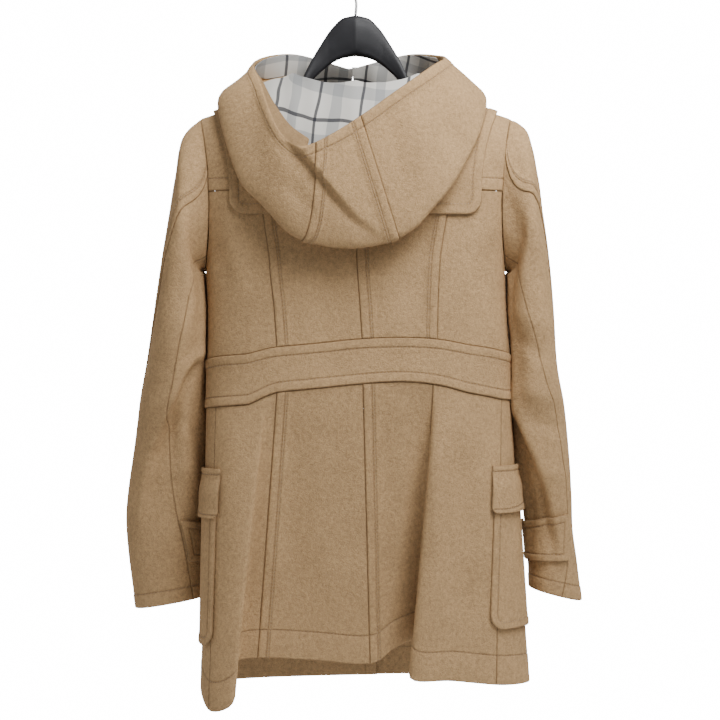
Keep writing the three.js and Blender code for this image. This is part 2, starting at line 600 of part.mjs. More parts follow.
// Cape over the yoke: each half goes over its shoulder from the back to the front
function cape(name, isLeft) {
  const face = (x, path) => {
    const isBack = path <= 90;
    const level = Math.min(path, 180 - path);
    const here = body(angleAt(x, CHEST + Math.min(level, 0), isBack), level);
    if (!isBack && !isLeft) here.y -= lapLift(here.x);
    return here;
  };
  const corner = (below) => {
    const left = CAPE_DROP - below;
    if (left > CAPE_CORNER) return 0;
    return CAPE_CORNER - Math.sqrt(CAPE_CORNER ** 2 - (CAPE_CORNER - left) ** 2);
  };
  const place = (s, r) => {
    const stops = [-CAPE_DROP, CAPE_CORNER - CAPE_DROP, 0, 90, 180, 180 + CAPE_DROP - CAPE_CORNER, 180 + CAPE_DROP];
    const shares = [0, 0.12, 0.2, 0.5, 0.8, 0.88, 1];
    const part = shares.findIndex((share) => share >= Math.max(r, 0.001)) - 1;
    const path = lerp(stops[part], stops[part + 1], (r - shares[part]) / (shares[part + 1] - shares[part]));
    const below = Math.max(-path, path - 180, 0);
    const turn = clamp(Math.min(path, 180 - path), 0, 90);
    const low = path <= 90 ? NECK_BACK_TURN : NECK_FRONT_TURN;
    const rise = clamp((turn - low) / (90 - low), 0, 1);
    const neck = NECK_HALF_WIDTH * Math.sqrt(1 - (1 - rise) ** 2);
    const edge = lerp(CAPE_EDGE_CHEST_X, CAPE_EDGE_SHOULDER_X, Math.sin(radians(turn)) ** 2);
    const outer = edge - corner(below);
    const inner = Math.max(neck + 2 * SEAM, path > 90 ? CAPE_FRONT_X : SEAM / 2);
    return [isLeft ? lerp(outer, inner, s) : lerp(-inner, -outer, s), path];
  };
  wall(name, face, place, wool, { columns: 6, rows: 25, side: -1, lift: () => OVERLAY, steps: [0.05, 0.02] });
}
cape('cape_left', true);
cape('cape_right', false);

// The neck edge of the coat, by angle from the left side over the back
function neckEdge(angle) {
  const x = NECK_HALF_WIDTH * Math.cos(radians(angle));
  const across = Math.sin(radians(angle));
  const low = across > 0 ? NECK_BACK_TURN : NECK_FRONT_TURN;
  return body(angleAt(x, CHEST, across > 0), low + (90 - low) * (1 - Math.abs(across)));
}

// A point pushed out until it is clear of the body by a distance
function clearOfBody(point, distance) {
  const isBack = point.y > 0;
  const clear = distance + (isBack ? 0 : lapLift(point.x));
  const across = clamp(point.x, -CHEST_EDGE_X, CHEST_EDGE_X);
  const depth = Math.abs(body(angleAt(across, CHEST, isBack), 0).y) + clear;
  const height = shoulderTop(point.x) - CHEST + clear;
  const up = Math.max(point.z - CHEST, 0);
  const reach = Math.hypot(point.y / depth, up / height);
  const scale = (reach ** PUSH_SHARPNESS + 1) ** (1 / PUSH_SHARPNESS) / reach;
  if (up > 0) point.z = CHEST + up * scale;
  point.y *= scale;
  return point;
}

// The hood's outer face: turn -90 is the edge of its opening, 0 the roll and 90 the neck seam
function hoodFace(row, turn) {
  const at = (name) => column(HOOD, name, row);
  const roll = new THREE.Vector3(at('roll_x'), at('roll_y'), at('roll_z'));
  const goal = turn < 0 ? new THREE.Vector3(at('edge_x'), at('edge_y'), at('edge_z')) : neckEdge(at('neck'));
  const share = Math.abs(turn) / 90;
  const along = turn < 0 ? 1 - Math.cos(radians(turn)) : share ** 1.1;
  const across = Math.sin(radians(90 * Math.min(turn < 0 ? share : 1.5 * share, 1)));
  const here = new THREE.Vector3(
    lerp(roll.x, goal.x, along),
    lerp(roll.y, goal.y, across),
    lerp(roll.z, goal.z, along),
  );
  return clearOfBody(here, turn < 0 ? HOOD_CLEAR : lerp(HOOD_CLEAR, HOOD_SEAT, turn / 90));
}

// Rows over the hood: five from its edge to the roll and seven on to the neck
const HOOD_ROWS = 12;
const hoodTurn = (step) => (step < 5 ? -90 + 18 * step : ((step - 5) * 90) / 7);

// The left seam leans to the right between the roll and the edge
const leftHoodSeam = (turn) => HOOD_LEFT_SEAM_ROW + (HOOD_LEFT_SEAM_LEAN * Math.max(-turn, 0)) / 90;
const HOOD_PIECES = [
  { name: 'hood_left', from: () => 0, to: leftHoodSeam, columns: 12 },
  { name: 'hood_centre', from: leftHoodSeam, to: () => HOOD_RIGHT_SEAM_ROW, columns: 4 },
  { name: 'hood_right', from: () => HOOD_RIGHT_SEAM_ROW, to: () => HOOD.length - 1, columns: 14 },
];
const HOOD_SEAM_ROWS = 0.004;
for (const { name, from, to, columns } of HOOD_PIECES) {
  const place = (s, r) => {
    const turn = hoodTurn(r * HOOD_ROWS);
    return [lerp(from(turn) + HOOD_SEAM_ROWS, to(turn) - HOOD_SEAM_ROWS, s), turn];
  };
  wall(name, hoodFace, place, wool, { columns, rows: HOOD_ROWS, side: -1, steps: [0.002, 0.05] });
}

// The hood's lining where it shows: inside the hood's back and inside its two standing fronts
function hoodLining(name, columns, rows) {
  const count = columns.last - columns.first;
  const place = (s, r) => {
    let step = columns.first + s * count;
    const piece = HOOD_PIECES.find((one) => {
      const here = step <= one.columns + 0.001;
      if (!here) step -= one.columns;
      return here;
    });
    const turn = hoodTurn(lerp(rows.first, rows.last, r));
    return [lerp(piece.from(turn), piece.to(turn), step / piece.columns), turn];
  };
  const shape = { columns: count, rows: rows.last - rows.first, thickness: LINING, side: -1, steps: [0.002, 0.05] };
  wall(name, hoodFace, place, liningCloth, { ...shape, lift: () => -CLOTH - LINING_GAP });
}
hoodLining('hood_lining_back', { first: 6, last: 24 }, { first: 6, last: 12 });
hoodLining('hood_lining_left', { first: 0, last: 5 }, { first: 1, last: 3 });
hoodLining('hood_lining_right', { first: 26, last: 30 }, { first: 1, last: 3 });

// Pockets and their flaps, laid on the skirt's side and moved out from its points
function rowAfter(start, z, distance) {
  const count = 40;
  let row = start;
  for (let i = 0; i < count; i += 1) {
    const speed = skirtAt(row + 0.01, z).distanceTo(skirtAt(row - 0.01, z)) / 0.02;
    row += distance / count / speed;
  }
  return row;
}

function patch(name, ends, heights, corner, lift) {
  const [low, high] = ends;
  const [bottom, top] = heights;
  const round = 0.4;
  const place = (s, r) => {
    const turn = radians(90 * Math.min(r / round, 1));
    const rise = (r - round) / (1 - round);
    const z = r < round ? bottom + corner * (1 - Math.cos(turn)) : lerp(bottom + corner, top, rise);
    const inset = corner * (1 - Math.sin(turn));
    return [lerp(moved(skirtAt, low, z, inset), moved(skirtAt, high, z, -inset), s), z];
  };
  wall(name, skirtAt, place, wool, { columns: 10, rows: 6, lift, steps: [0.002, 0.05] });
}

function pocket(side, sizes, direction) {
  const middle = (sizes.top + sizes.bottom) / 2;
  const span = (extra) => {
    const rear = rowAfter(sizes.rear_row, middle, -direction * extra);
    const fore = rowAfter(sizes.rear_row, middle, direction * (POCKET_LENGTH + extra));
    return direction > 0 ? [rear, fore] : [fore, rear];
  };
  const overPocket = (row, z) => OVERLAY + OVERLAY * ramp(-z, -sizes.flap_top + 4, -sizes.top - 1);
  patch(`pocket_${side}`, span(0), [sizes.bottom, sizes.top], POCKET_CORNER, () => OVERLAY);
  patch(`pocket_flap_${side}`, span(FLAP_OVERHANG), [sizes.flap_bottom, sizes.flap_top], FLAP_CORNER, overPocket);
}
pocket('left', LEFT_POCKET, -1);
pocket('right', RIGHT_POCKET, 1);

// A cord along a curve
function cordAlong(name, points, radius, steps, look) {
  const section = new THREE.Shape();
  section.absarc(0, 0, radius, 0, 2 * Math.PI);
  const shape = new THREE.Shape(section.getPoints(2).slice(0, -1));
  const path = new THREE.CatmullRomCurve3(points);
  const geometry = new THREE.ExtrudeGeometry(shape, { extrudePath: path, steps, bevelEnabled: false });
  addMesh(name, geometry, look);
}

// Toggles: a horn barrel and its patch on the left front, a cord loop and its patch on the right
function frontFace(isRight) {
  return (x, z) => {
    const onBody = z > bandEdge('top', 270);
    const here = onBody ? body(angleAt(x, z, false), z - CHEST) : skirtAt(rowAtX(x, 13, 17), z);
    if (isRight) here.y -= lapLift(x);
    return here;
  };
}

function leatherPatch(name, face, middleX, z) {
  const place = (s, r) => [
    middleX + lerp(-PATCH_HALF_WIDTH, PATCH_HALF_WIDTH, s),
    z + lerp(-PATCH_HALF_HEIGHT, PATCH_HALF_HEIGHT, r),
  ];
  const lift = () => PATCH_THICKNESS + LAID_GAP;
  wall(name, face, place, leather, { columns: 2, rows: 2, thickness: PATCH_THICKNESS, lift, steps: [0.5, 0.5] });
}

function toggle(number, z) {
  const rightFace = frontFace(true);
  leatherPatch(`loop_patch_${number}`, rightFace, LOOP_PATCH_X, z);
  leatherPatch(`toggle_patch_${number}`, frontFace(false), TOGGLE_PATCH_X, z);

  const startX = LOOP_PATCH_X + PATCH_HALF_WIDTH + 1.5;
  const frontY = rightFace(0, z).y;
  const cordY = frontY - LOOP_RADIUS - LAID_GAP;
  const half = [
    new THREE.Vector3(startX, rightFace(startX, z).y - LOOP_RADIUS - LOOP_LIFT, z + LOOP_SPREAD),
    new THREE.Vector3(0, cordY, z + LOOP_SPREAD),
    new THREE.Vector3(TOGGLE_X, cordY, z + LOOP_SPREAD),
  ];
  const back = half.map((point) => new THREE.Vector3(point.x, point.y, 2 * z - point.z)).reverse();
  const turn = new THREE.Vector3(TOGGLE_X + LOOP_SPREAD + 3, cordY, z);
  cordAlong(`toggle_loop_${number}`, [...half, turn, ...back], LOOP_RADIUS, 18, cord);

  const outline = [];
  const stations = 8;
  for (let i = 0; i <= stations; i += 1) {
    const along = i / stations;
    const radius = i % stations === 0 ? 0 : TOGGLE_RADIUS * Math.sin(Math.PI * along) ** 0.45;
    outline.push(new THREE.Vector2(radius, (along - 0.5) * TOGGLE_LENGTH));
  }
  const barrel = new THREE.LatheGeometry(outline, 8);
  const barrelY = cordY - LOOP_RADIUS - TOGGLE_RADIUS - LAID_GAP;
  barrel.rotateZ(Math.PI / 2).translate(TOGGLE_X, barrelY, z);
  addMesh(`toggle_${number}`, barrel, horn);
}
TOGGLE_HEIGHTS.forEach((z, index) => toggle(index + 1, z));

// Hanger: a plastic body across the shoulders and a wire hook
function hangerBody() {
  const left = HANGER.slice(1).reverse();
  const across = [...left.map((row) => ({ ...row, x: -row.x })), ...HANGER];
  const sides = 12;
  const positions = [];
  const index = [];
  for (const { x, top, bottom, half_depth } of across) {
    for (let k = 0; k < sides; k += 1) {
      const angle = (2 * Math.PI * k) / sides;
      positions.push(x, half_depth * Math.cos(angle), (top + bottom) / 2 + ((top - bottom) / 2) * Math.sin(angle));
    }
  }
  for (let i = 0; i < across.length - 1; i += 1) {
    for (let k = 0; k < sides; k += 1) {
      const next = (k + 1) % sides;
      const [a, b, c, d] = [i * sides + k, (i + 1) * sides + k, (i + 1) * sides + next, i * sides + next];
      index.push(a, b, c, a, c, d);
    }
  }
  const last = (across.length - 1) * sides;
  for (let k = 1; k < sides - 1; k += 1) {
    index.push(0, k, k + 1);
    index.push(last, last + k + 1, last + k);
  }
  addMesh('hanger_body', closedGeometry(positions, index), plastic);
}
hangerBody();

function hangerHook() {
  const radius = HOOK_INNER_RADIUS + HOOK_WIRE_RADIUS;
  const stemTop = -HOOK_INNER_RADIUS - radius - 14;
  const points = [
    new THREE.Vector3(0, 0, HANGER[0].top + SEAM),
    new THREE.Vector3(0, 0, stemTop),
  ];
  for (let angle = -50; angle <= 200; angle += 25) {
    const turn = radians(angle);
    points.push(new THREE.Vector3(radius * Math.cos(turn), 0, -HOOK_INNER_RADIUS + radius * Math.sin(turn)));
  }
  cordAlong('hanger_hook', points, HOOK_WIRE_RADIUS, 30, steel);
}
hangerHook();

export default coat;
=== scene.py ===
"""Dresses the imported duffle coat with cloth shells, seams, stitching, lining, toggles and its hanger."""

import math

import bpy
import numpy as np
from mathutils.bvhtree import BVHTree
from mathutils.kdtree import KDTree
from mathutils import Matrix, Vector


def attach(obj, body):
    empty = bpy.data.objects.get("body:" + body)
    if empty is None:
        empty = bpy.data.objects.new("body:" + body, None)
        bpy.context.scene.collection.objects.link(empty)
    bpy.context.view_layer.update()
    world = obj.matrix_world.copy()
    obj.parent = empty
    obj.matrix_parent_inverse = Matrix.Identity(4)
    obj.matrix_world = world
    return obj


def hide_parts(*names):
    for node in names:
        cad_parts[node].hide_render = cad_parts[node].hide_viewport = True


bl_info = {
    "name": "Duffle coat on a hanger",
    "version": (1, 0, 0),
    "blender": (4, 5, 0),
    "location": "3D View > Sidebar > Coat",
    "description": "Builds the looks of a duffle coat around its packed model",
    "category": "Add Mesh",
}

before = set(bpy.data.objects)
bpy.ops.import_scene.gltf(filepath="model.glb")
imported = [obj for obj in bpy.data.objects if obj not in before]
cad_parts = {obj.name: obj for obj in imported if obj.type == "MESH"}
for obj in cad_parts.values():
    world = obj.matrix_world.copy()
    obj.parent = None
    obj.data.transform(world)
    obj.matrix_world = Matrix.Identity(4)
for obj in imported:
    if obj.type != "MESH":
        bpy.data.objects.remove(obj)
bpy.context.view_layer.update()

# Millimetres to metres
MM = 0.001

# Heights of the coat's own levels, in millimetres as all sizes in this file
CHEST = -297
UNDERARM = -392
SHOULDER = -202
WAIST_LEVEL = -190
BODY_END = -575

# Shoulder line, armhole and neck
SHOULDER_X = 193
SHOULDER_SLOPE = 0.34
CHEST_EDGE_X = 179.5
ARMHOLE_LEAN = 3.5
ARMHOLE_BOW = 10
ARMHOLE_HALF_DEPTH = 50
ARMHOLE_HALF_HEIGHT = CHEST - UNDERARM
NECK_HALF_WIDTH = 72.5
NECK_BACK_TURN = 48.9
NECK_FRONT_TURN = 20.8

# Front edges: the right front laps over the left one
LEFT_FRONT_EDGE_X = -21
RIGHT_FRONT_EDGE_X = 25
LAP_LIFT = 3.3
LAP_START_X = -92
LAP_FULL_X = -48

# Degrees over the shoulder at which the yoke starts above its seam
YOKE_SEAM_TURN = 0.12

# Shares of a panel's length that lie under the underarm and under the chest
UNDERARM_SHARE = 0.45
CHEST_SHARE = 0.62

# The waistband's middle height, and how far it and what lies on the cloth stand off the face
BAND_MIDDLE = -537
BAND_PROUD = 1.0
OVERLAY = 3.7


def table(columns, rows):
    """A table with named columns, a row for each section or fold."""
    values = np.array(rows, float)
    return {name: values[:, index] for index, name in enumerate(columns.split())}


# Sections of the body, from the chest to the bottom of the waistband
BODY = table("z middle half_width back front squareness", [
    (-297, 0, 186, 78, 80, 3.2),
    (-392, 0, 186, 77, 83, 3.1),
    (-440, -2, 186, 75, 84, 3.0),
    (-500, -4, 189, 74, 84, 2.9),
    (-575, -4, 190, 75, 85, 2.8),
])

# Edges of the waistband around the body, by angle from the left side
BAND = table("angle top bottom", [
    (0, -505, -564), (50, -496, -557), (60, -488, -543), (72, -484, -538), (90, -478, -532),
    (106, -476, -529), (118, -478, -533), (130, -485, -543), (148, -492, -551), (180, -500, -554),
    (225, -504, -560), (270, -508, -566), (315, -508, -568),
])

# Sections down the skirt, a row for each fold, from the left side over the back
SKIRT = table("waist hem_x hem_y hem_z", [
    (0, 193, 0, -910), (33, 178, 50, -932), (55, 147, 72, -917), (58, 152, 34, -880),
    (61, 121, 27, -871), (76, 55, 24, -874), (91.5, -18, 27, -878), (104, -50, 17, -860),
    (115, -84, -2, -852), (118.5, -66, 66, -889), (131, -118, 64, -893), (152, -180, 47, -901),
    (180, -217, 0, -905), (205, -200, -52, -907), (235, -130, -87, -910), (270, -18, -95, -913),
    (305, 105, -88, -915), (335, 176, -50, -913),
])
LEFT_PRINCESS_ROW = 4
CENTRE_BACK_ROW = 6
RIGHT_PRINCESS_ROW = 8.3
RIGHT_SIDE_ROW = 10.85
LEFT_SIDE_ROW = 0.95
SKIRT_SEAM_DROP = 0.001
SKIRT_ROWS = 18
SKIRT_FRONT_ROWS = (13, 17)

# Princess seams of the bodice, as the angle at the chest and at the waistband
PRINCESS = {"left": (58, 61), "centre": (90, 91.5), "right": (122, 118)}

# Sleeves from the armhole to the cuff
SLEEVE_COLUMNS = "outer_x outer_z inner_x inner_z middle_y half_depth back_seam low_seam"
LEFT_SLEEVE = table(SLEEVE_COLUMNS, [
    (215, -226, 197, -396, 2, 56, 92, 146),
    (224, -275, 195, -406, 3, 60, 76, 140),
    (233, -330, 190.5, -422, 3, 60, 60, 130),
    (242, -384, 190, -450, 2, 57, 46, 116),
    (250, -445, 192, -495, 0, 54, 30, 104),
    (260, -505, 194.5, -545, -10, 52, 14, 96),
    (271, -555, 197, -592, -22, 50, 2, 92),
    (280, -611, 195, -642, -35, 48, -8, 98),
    (290, -672, 192, -694, -46, 46, -14, 108),
    (293, -710, 190, -727, -52, 45, -18, 116),
    (290, -755, 189, -762, -56, 43, -20, 122),
    (282, -820, 188, -803, -60, 41, -20, 128),
])
RIGHT_SLEEVE = table(SLEEVE_COLUMNS, [
    (214, -219, 197, -396, 2, 56, 84, 146),
    (227, -275, 196, -406, 3, 60, 60, 138),
    (234, -330, 191.5, -422, 3, 58, 38, 126),
    (241, -390, 192, -450, 2, 55, 18, 112),
    (247, -448, 196.8, -495, 0, 52, 2, 96),
    (252, -510, 198.5, -545, -3, 50, -8, 76),
    (262, -560, 201, -592, -14, 48, -14, 62),
    (269, -622, 205, -640, -22, 46, -18, 54),
    (273, -674, 212, -690, -30, 44, -20, 50),
    (275, -716, 216, -726, -35, 43, -20, 52),
    (281, -758, 219, -758, -38, 42, -20, 62),
    (287, -807, 221, -791, -40, 41, -20, 84),
])
FRONT_SLEEVE_SEAM = 215
SLEEVE_SQUARENESS = 2.25

# The inside of a sleeve is let in against the body: its gap, the most it moves, and between which places
SLEEVE_CLEAR = 2.4
SLEEVE_TUCK = 9
TUCK_START_Z = (-700, -630)
TUCK_END_Z = (-397, -384)
TUCK_MIDDLE_Y = -8
TUCK_FADE_Y = (28, 46)

# The strap at the cuff
STRAP_ROWS = (9.9, 8.4)
STRAP_SEAM_GAP = 2
STRAP_END = 205
STRAP_LIFT = 3.4

# The hood: the edge of its opening, the roll it turns round and the neck seam as an angle
HOOD = table("edge_x edge_y edge_z roll_x roll_y roll_z neck", [
    (12, -52, -134, 16, -74, -196, -84),
    (78, -34, -116, 98, -48, -160, -42),
    (124, 8, -132, 142, -10, -158, -12),
    (114, 62, -168, 170, 30, -190, 8),
    (98, 104, -212, 142, 86, -282, 30),
    (84, 120, -238, 112, 102, -318, 46),
    (62, 126, -251, 70, 108, -358, 62),
    (28, 130, -237, 3, 110, -371, 90),
    (-12, 124, -211, -60, 108, -355, 118),
    (-44, 116, -187, -96, 102, -320, 134),
    (-72, 104, -166, -124, 90, -283, 148),
    (-96, 78, -146, -154, 60, -224, 164),
    (-108, 40, -134, -160, 14, -178, 178),
    (-104, 2, -124, -126, -20, -152, 196),
    (-66, -38, -116, -88, -54, -162, 222),
    (-4, -56, -131, -10, -80, -196, 262),
])
HOOD_LEFT_SEAM_ROW = 6.1
HOOD_LEFT_SEAM_LEAN = 0.4
HOOD_RIGHT_SEAM_ROW = 7.85
HOOD_LAST_ROW = 15

# How far the hood stays off the body, at its roll and at its neck seam
HOOD_CLEAR = 9
HOOD_SEAT = 5.2
PUSH_SHARPNESS = 10

# How the hood's cloth leaves its roll towards the neck seam
HOOD_FALL_POWER = 1.1
HOOD_DEPTH_PACE = 1.5

# The hem of the hood's left side rolls into the opening: how far, which way and between which places
ROLL_WIDTH = 15
ROLL_DEPTH = 8
ROLL_DIRECTION = (-0.85, 0.05, 0.5)
ROLL_START_X = (-126, -82)
ROLL_END_X = (-70, -54)
ROLL_FROM_Y = (20, 60)

# The hood's lining: its steps and columns are the solid's own, and its two front pieces meet at the throat
HOOD_STEPS = (0, 5, 12)
HOOD_COLUMNS = (0, 12, 16, 30)
LINING_PIECES = (("back", 6, 24, 6, 12), ("left", 0, 5, 0.05, 3), ("right", 26, 30, 0.05, 3))
LINING_MEETS = 0.15
LINING_ROW_WIDTH = 60
LINING_THICKNESS = 0.8
LINING_GAP = 0.4
GATHER_DEPTH = 0.7
GATHER_LENGTHS = (7.5, 19, 3.9)

# Folds whose upper side lies over the lower one, seen from behind: how far the one rises and the other sinks
FOLD_COLUMNS = "x z rise sink"
HOOD_FOLD = table(FOLD_COLUMNS, [
    (72, -250, 5, 3), (50, -275, 6.5, 4), (27, -304, 6, 4), (3, -332, 4, 2.5), (-20, -350, 1.5, 1),
])
ELBOW_FOLDS = {
    "left": table(FOLD_COLUMNS, [
        (268, -700, 1, 2), (262, -660, 2, 6), (251, -618, 3, 11), (234, -581, 4, 13), (206, -520, 5, 12),
        (184, -482, 5, 8),
    ]),
    "right": table(FOLD_COLUMNS, [
        (-180, -430, 3, 4), (-184, -478, 5, 8), (-190, -513, 5, 12), (-201, -564, 5, 13), (-221, -625, 5, 13),
        (-237, -676, 4, 11), (-246, -716, 3, 7), (-252, -744, 1, 2),
    ]),
}

# How wide the upper and the lower side of those folds fade out, and how sharply they turn
HOOD_SPREADS = (26, 12)
ELBOW_SPREADS = (22, 60)
FOLD_TURN = 4
UNDER_TURN = 6
FOLD_END_FADE = 14

# The cape that lies over the yoke
CAPE_EDGE_CHEST_X = 152
CAPE_EDGE_SHOULDER_X = 164
CAPE_DROP = 30
CAPE_CORNER = 20
CAPE_FRONT_X = 32
CAPE_SHARES = (0, 0.12, 0.2, 0.5, 0.8, 0.88, 1)

# Pockets, measured along the skirt's side from their rear edges
POCKET_LENGTH = 168
POCKET_CORNER = 20
LEFT_POCKET = {
    "direction": -1, "rear_row": 1.1, "top": -668, "bottom": -854, "flap_top": -636, "flap_bottom": -697,
}
RIGHT_POCKET = {
    "direction": 1, "rear_row": 10.66, "top": -662, "bottom": -833, "flap_top": -632, "flap_bottom": -690,
}
FLAP_OVERHANG = 5
FLAP_CORNER = 8
CORNER_SHARE = 0.4

# Toggles down the front
TOGGLE_HEIGHTS = (-352, -448, -618)
TOGGLE_LENGTH = 48
TOGGLE_RADIUS = 6.5
TOGGLE_BLUNTNESS = 0.45
TOGGLE_RINGS = 47
TOGGLE_X = 40
TOGGLE_PATCH_X = 92
LOOP_PATCH_X = -48
LOOP_SPREAD = 5
LOOP_RADIUS = 2
LOOP_LIFT = 3
STRAND_DEPTH = 0.14
TOGGLE_WAIST_DEPTH = 1.4
TOGGLE_WAIST_WIDTH = 3.2
LAID_GAP = 0.7
PATCH_HALF_WIDTH = 17
PATCH_HALF_HEIGHT = 15
PATCH_THICKNESS = 1.6

# Hanger, sections across the shoulders
HANGER = table("x top bottom half_depth", [
    (0, -72, -123, 10), (18, -76, -126, 10), (33, -92, -134, 10), (53, -124, -152, 10),
    (66, -150, -178, 12), (73, -169.2, -190, 13), (84, -170, -194, 14), (130, -184.2, -207, 18),
    (166, -197, -220, 19), (174, -203, -218, 14),
])
HANGER_SOFTNESS = 15
HANGER_RIDGE_REACH = 34
HANGER_RIDGE_END = (40, 75)
HANGER_RIDGE_DEPTH = 0.45
HANGER_LIP_DEPTH = 0.22
HANGER_WIDEST = 1.05
HANGER_STATIONS = 281
HANGER_SQUARENESS = 2.6
HOOK_WIRE_RADIUS = 1.75
HOOK_INNER_RADIUS = 18
HOOK_STEM = 14

FLOOR_SIDES = 96

# Lights: which power of the stage's settings, the share of it, and the size and place in metres
LAMP_AIM = (0, 0, -0.45)
LAMPS = (
    ("key_light", "key_power", 1, 1.2, (-1.5, 2.2, 1.1)),
    ("fill_light", "key_power", 0.3, 1.8, (1.9, 2.0, 0.2)),
    ("top_light", "top_power", 1, 0.7, (-0.45, 0.75, 0.65)),
    ("front_light", "key_power", 1.9, 1.8, (0.8, -2.4, 0.9)),
    ("left_light", "key_power", 0.55, 1.4, (2.4, -0.5, 0.6)),
    ("right_light", "key_power", 0.55, 1.4, (-2.4, -0.5, 0.6)),
)


def lerp(a, b, t):
    """The value a share t of the way from one to the other."""
    return a + (b - a) * t


def ramp(value, low, high):
    """A smooth rise from 0 to 1 between two values."""
    share = np.clip((value - low) / (high - low), 0, 1)
    return share * share * (3 - 2 * share)


def smooth(a, b, c, d, t):
    """A smooth curve through four values, at a share t of the way from the second to the third."""
    bend = 2 * a - 5 * b + 4 * c - d
    rise = 3 * b - 3 * c + d - a
    return b + 0.5 * t * (c - a + t * (bend + t * rise))


def column(values, row):
    """The value of a column at a row between two rows of a table that has ends."""
    last = len(values) - 1
    first = np.clip(np.floor(row).astype(int), 0, last - 1)
    a, b, c, d = (values[np.clip(first + step, 0, last)] for step in (-1, 0, 1, 2))
    return smooth(a, b, c, d, row - first)


def round_column(values, row, turn=0):
    """The same for a table that closes on itself; turn is what the column gains in one round."""
    count = len(values)
    first = np.floor(row).astype(int)
    near = (first + step for step in (-1, 0, 1, 2))
    a, b, c, d = (values[index % count] + index // count * turn for index in near)
    return smooth(a, b, c, d, row - first)


def row_of(keys, value):
    sign = 1 if keys[1] > keys[0] else -1
    return np.interp(sign * value, sign * keys, np.arange(len(keys)))


def points(x, y, z):
    return np.stack(np.broadcast_arrays(x, y, z), -1).astype(float)


def length(vectors):
    return np.sqrt((vectors**2).sum(-1))


def moved(surface, a, b, distance):
    """The first coordinate of a place on a surface, moved by a distance in millimetres."""
    step = 0.01
    speed = length(surface(a + step, b) - surface(a - step, b)) / (2 * step)
    return a + distance / speed


def squared(angle, squareness):
    c = np.cos(np.radians(angle))
    s = np.sin(np.radians(angle))
    reach = (abs(c) ** squareness + abs(s) ** squareness) ** (1 / squareness)
    return c / reach, s / reach


def armhole_x(w):
    return CHEST_EDGE_X + ARMHOLE_LEAN * w + ARMHOLE_BOW * w * w


def shoulder_top(x):
    return SHOULDER + SHOULDER_SLOPE * (SHOULDER_X - abs(x))


def armhole_weight(z):
    return np.clip((z - CHEST) / ARMHOLE_HALF_HEIGHT, -1, 0)


def armhole_depth(z):
    return ARMHOLE_HALF_DEPTH * np.sqrt(1 - armhole_weight(z) ** 2)


def section(z, is_back):
    """The body's section at a height, for its back or its front half."""
    row = row_of(BODY["z"], np.clip(z, BODY_END, CHEST))
    squareness = column(BODY["squareness"], row)
    depth = np.where(is_back, column(BODY["back"], row), column(BODY["front"], row))
    share = 1 - (armhole_depth(z) / depth) ** squareness
    at_armhole = armhole_x(armhole_weight(z)) / share ** (1 / squareness)
    half_width = np.where(z > UNDERARM, at_armhole, column(BODY["half_width"], row))
    return column(BODY["middle"], row), half_width, depth, squareness


def body(angle, level):
    """The body's outer face: millimetres below the chest, or degrees up over the shoulder."""
    is_back = np.sin(np.radians(angle)) > 0
    z = CHEST + np.minimum(level, 0)
    middle, half_width, depth, squareness = section(z, is_back)
    c, s = squared(angle, squareness)
    x = middle + half_width * c
    turn = np.radians(np.maximum(level, 0))
    w = np.sin(turn)
    spread = x * np.where(level > 0, armhole_x(w) / CHEST_EDGE_X, 1)
    rise = (shoulder_top(spread) - CHEST) * w
    return points(spread, depth * s * np.cos(turn), z + rise)


def angle_at(x, z, is_back):
    middle, half_width, _, squareness = section(z, is_back)
    across = np.clip((x - middle) / half_width, -1, 1)
    out = (1 - abs(across) ** squareness) ** (1 / squareness)
    turn = np.degrees(np.arctan2(np.where(is_back, out, -out), across))
    return turn + np.where(is_back, 0, 360)


def edge_angle(level, is_left, is_back):
    """The angle of the armhole or side seam at a level."""
    z = CHEST + np.minimum(level, 0)
    _, half_width, depth, _ = section(z, is_back)
    reach = np.degrees(np.arctan2(armhole_depth(z) / depth, armhole_x(armhole_weight(z)) / half_width))
    turn = np.where(z > UNDERARM, reach, 0)
    if is_back:
        return turn if is_left else 180 - turn
    return 360 - turn if is_left else 180 + turn


def neck_turn(x, is_back):
    low = NECK_BACK_TURN if is_back else NECK_FRONT_TURN
    across = np.clip(abs(x) / NECK_HALF_WIDTH, 0, 1)
    return low + (90 - low) * (1 - np.sqrt(1 - across * across))


def band_edge(name, angle):
    keys = np.append(BAND["angle"], 360)
    return round_column(BAND[name], row_of(keys, angle % 360))


def skirt(row, drop):
    """The skirt's outer face: the row follows the table, the drop runs from waistband to hem."""
    angle = round_column(SKIRT["waist"], row, 360)
    top = body(angle, band_edge("bottom", angle) - CHEST)
    hem = points(*(round_column(SKIRT[name], row) for name in ("hem_x", "hem_y", "hem_z")))
    return lerp(top, hem, np.asarray(drop, float)[..., None])


def skirt_at(row, z):
    top = skirt(row, 0 * row)[..., 2]
    hem = skirt(row, 0 * row + 1)[..., 2]
    return skirt(row, (z - top) / (hem - top))


def lap_lift(x):
    return LAP_LIFT * ramp(x, LAP_START_X, LAP_FULL_X)


def lapped(surface):
    """A surface of the right front, which rises over the left one near the front edges."""
    def face(a, b):
        here = surface(a, b)
        here[..., 1] -= lap_lift(here[..., 0])
        return here
    return face


def armhole(angle):
    w = np.cos(np.radians(angle))
    x = armhole_x(w)
    height = np.where(w > 0, shoulder_top(x) - CHEST, ARMHOLE_HALF_HEIGHT)
    return points(x, ARMHOLE_HALF_DEPTH * np.sin(np.radians(angle)), CHEST + height * w)


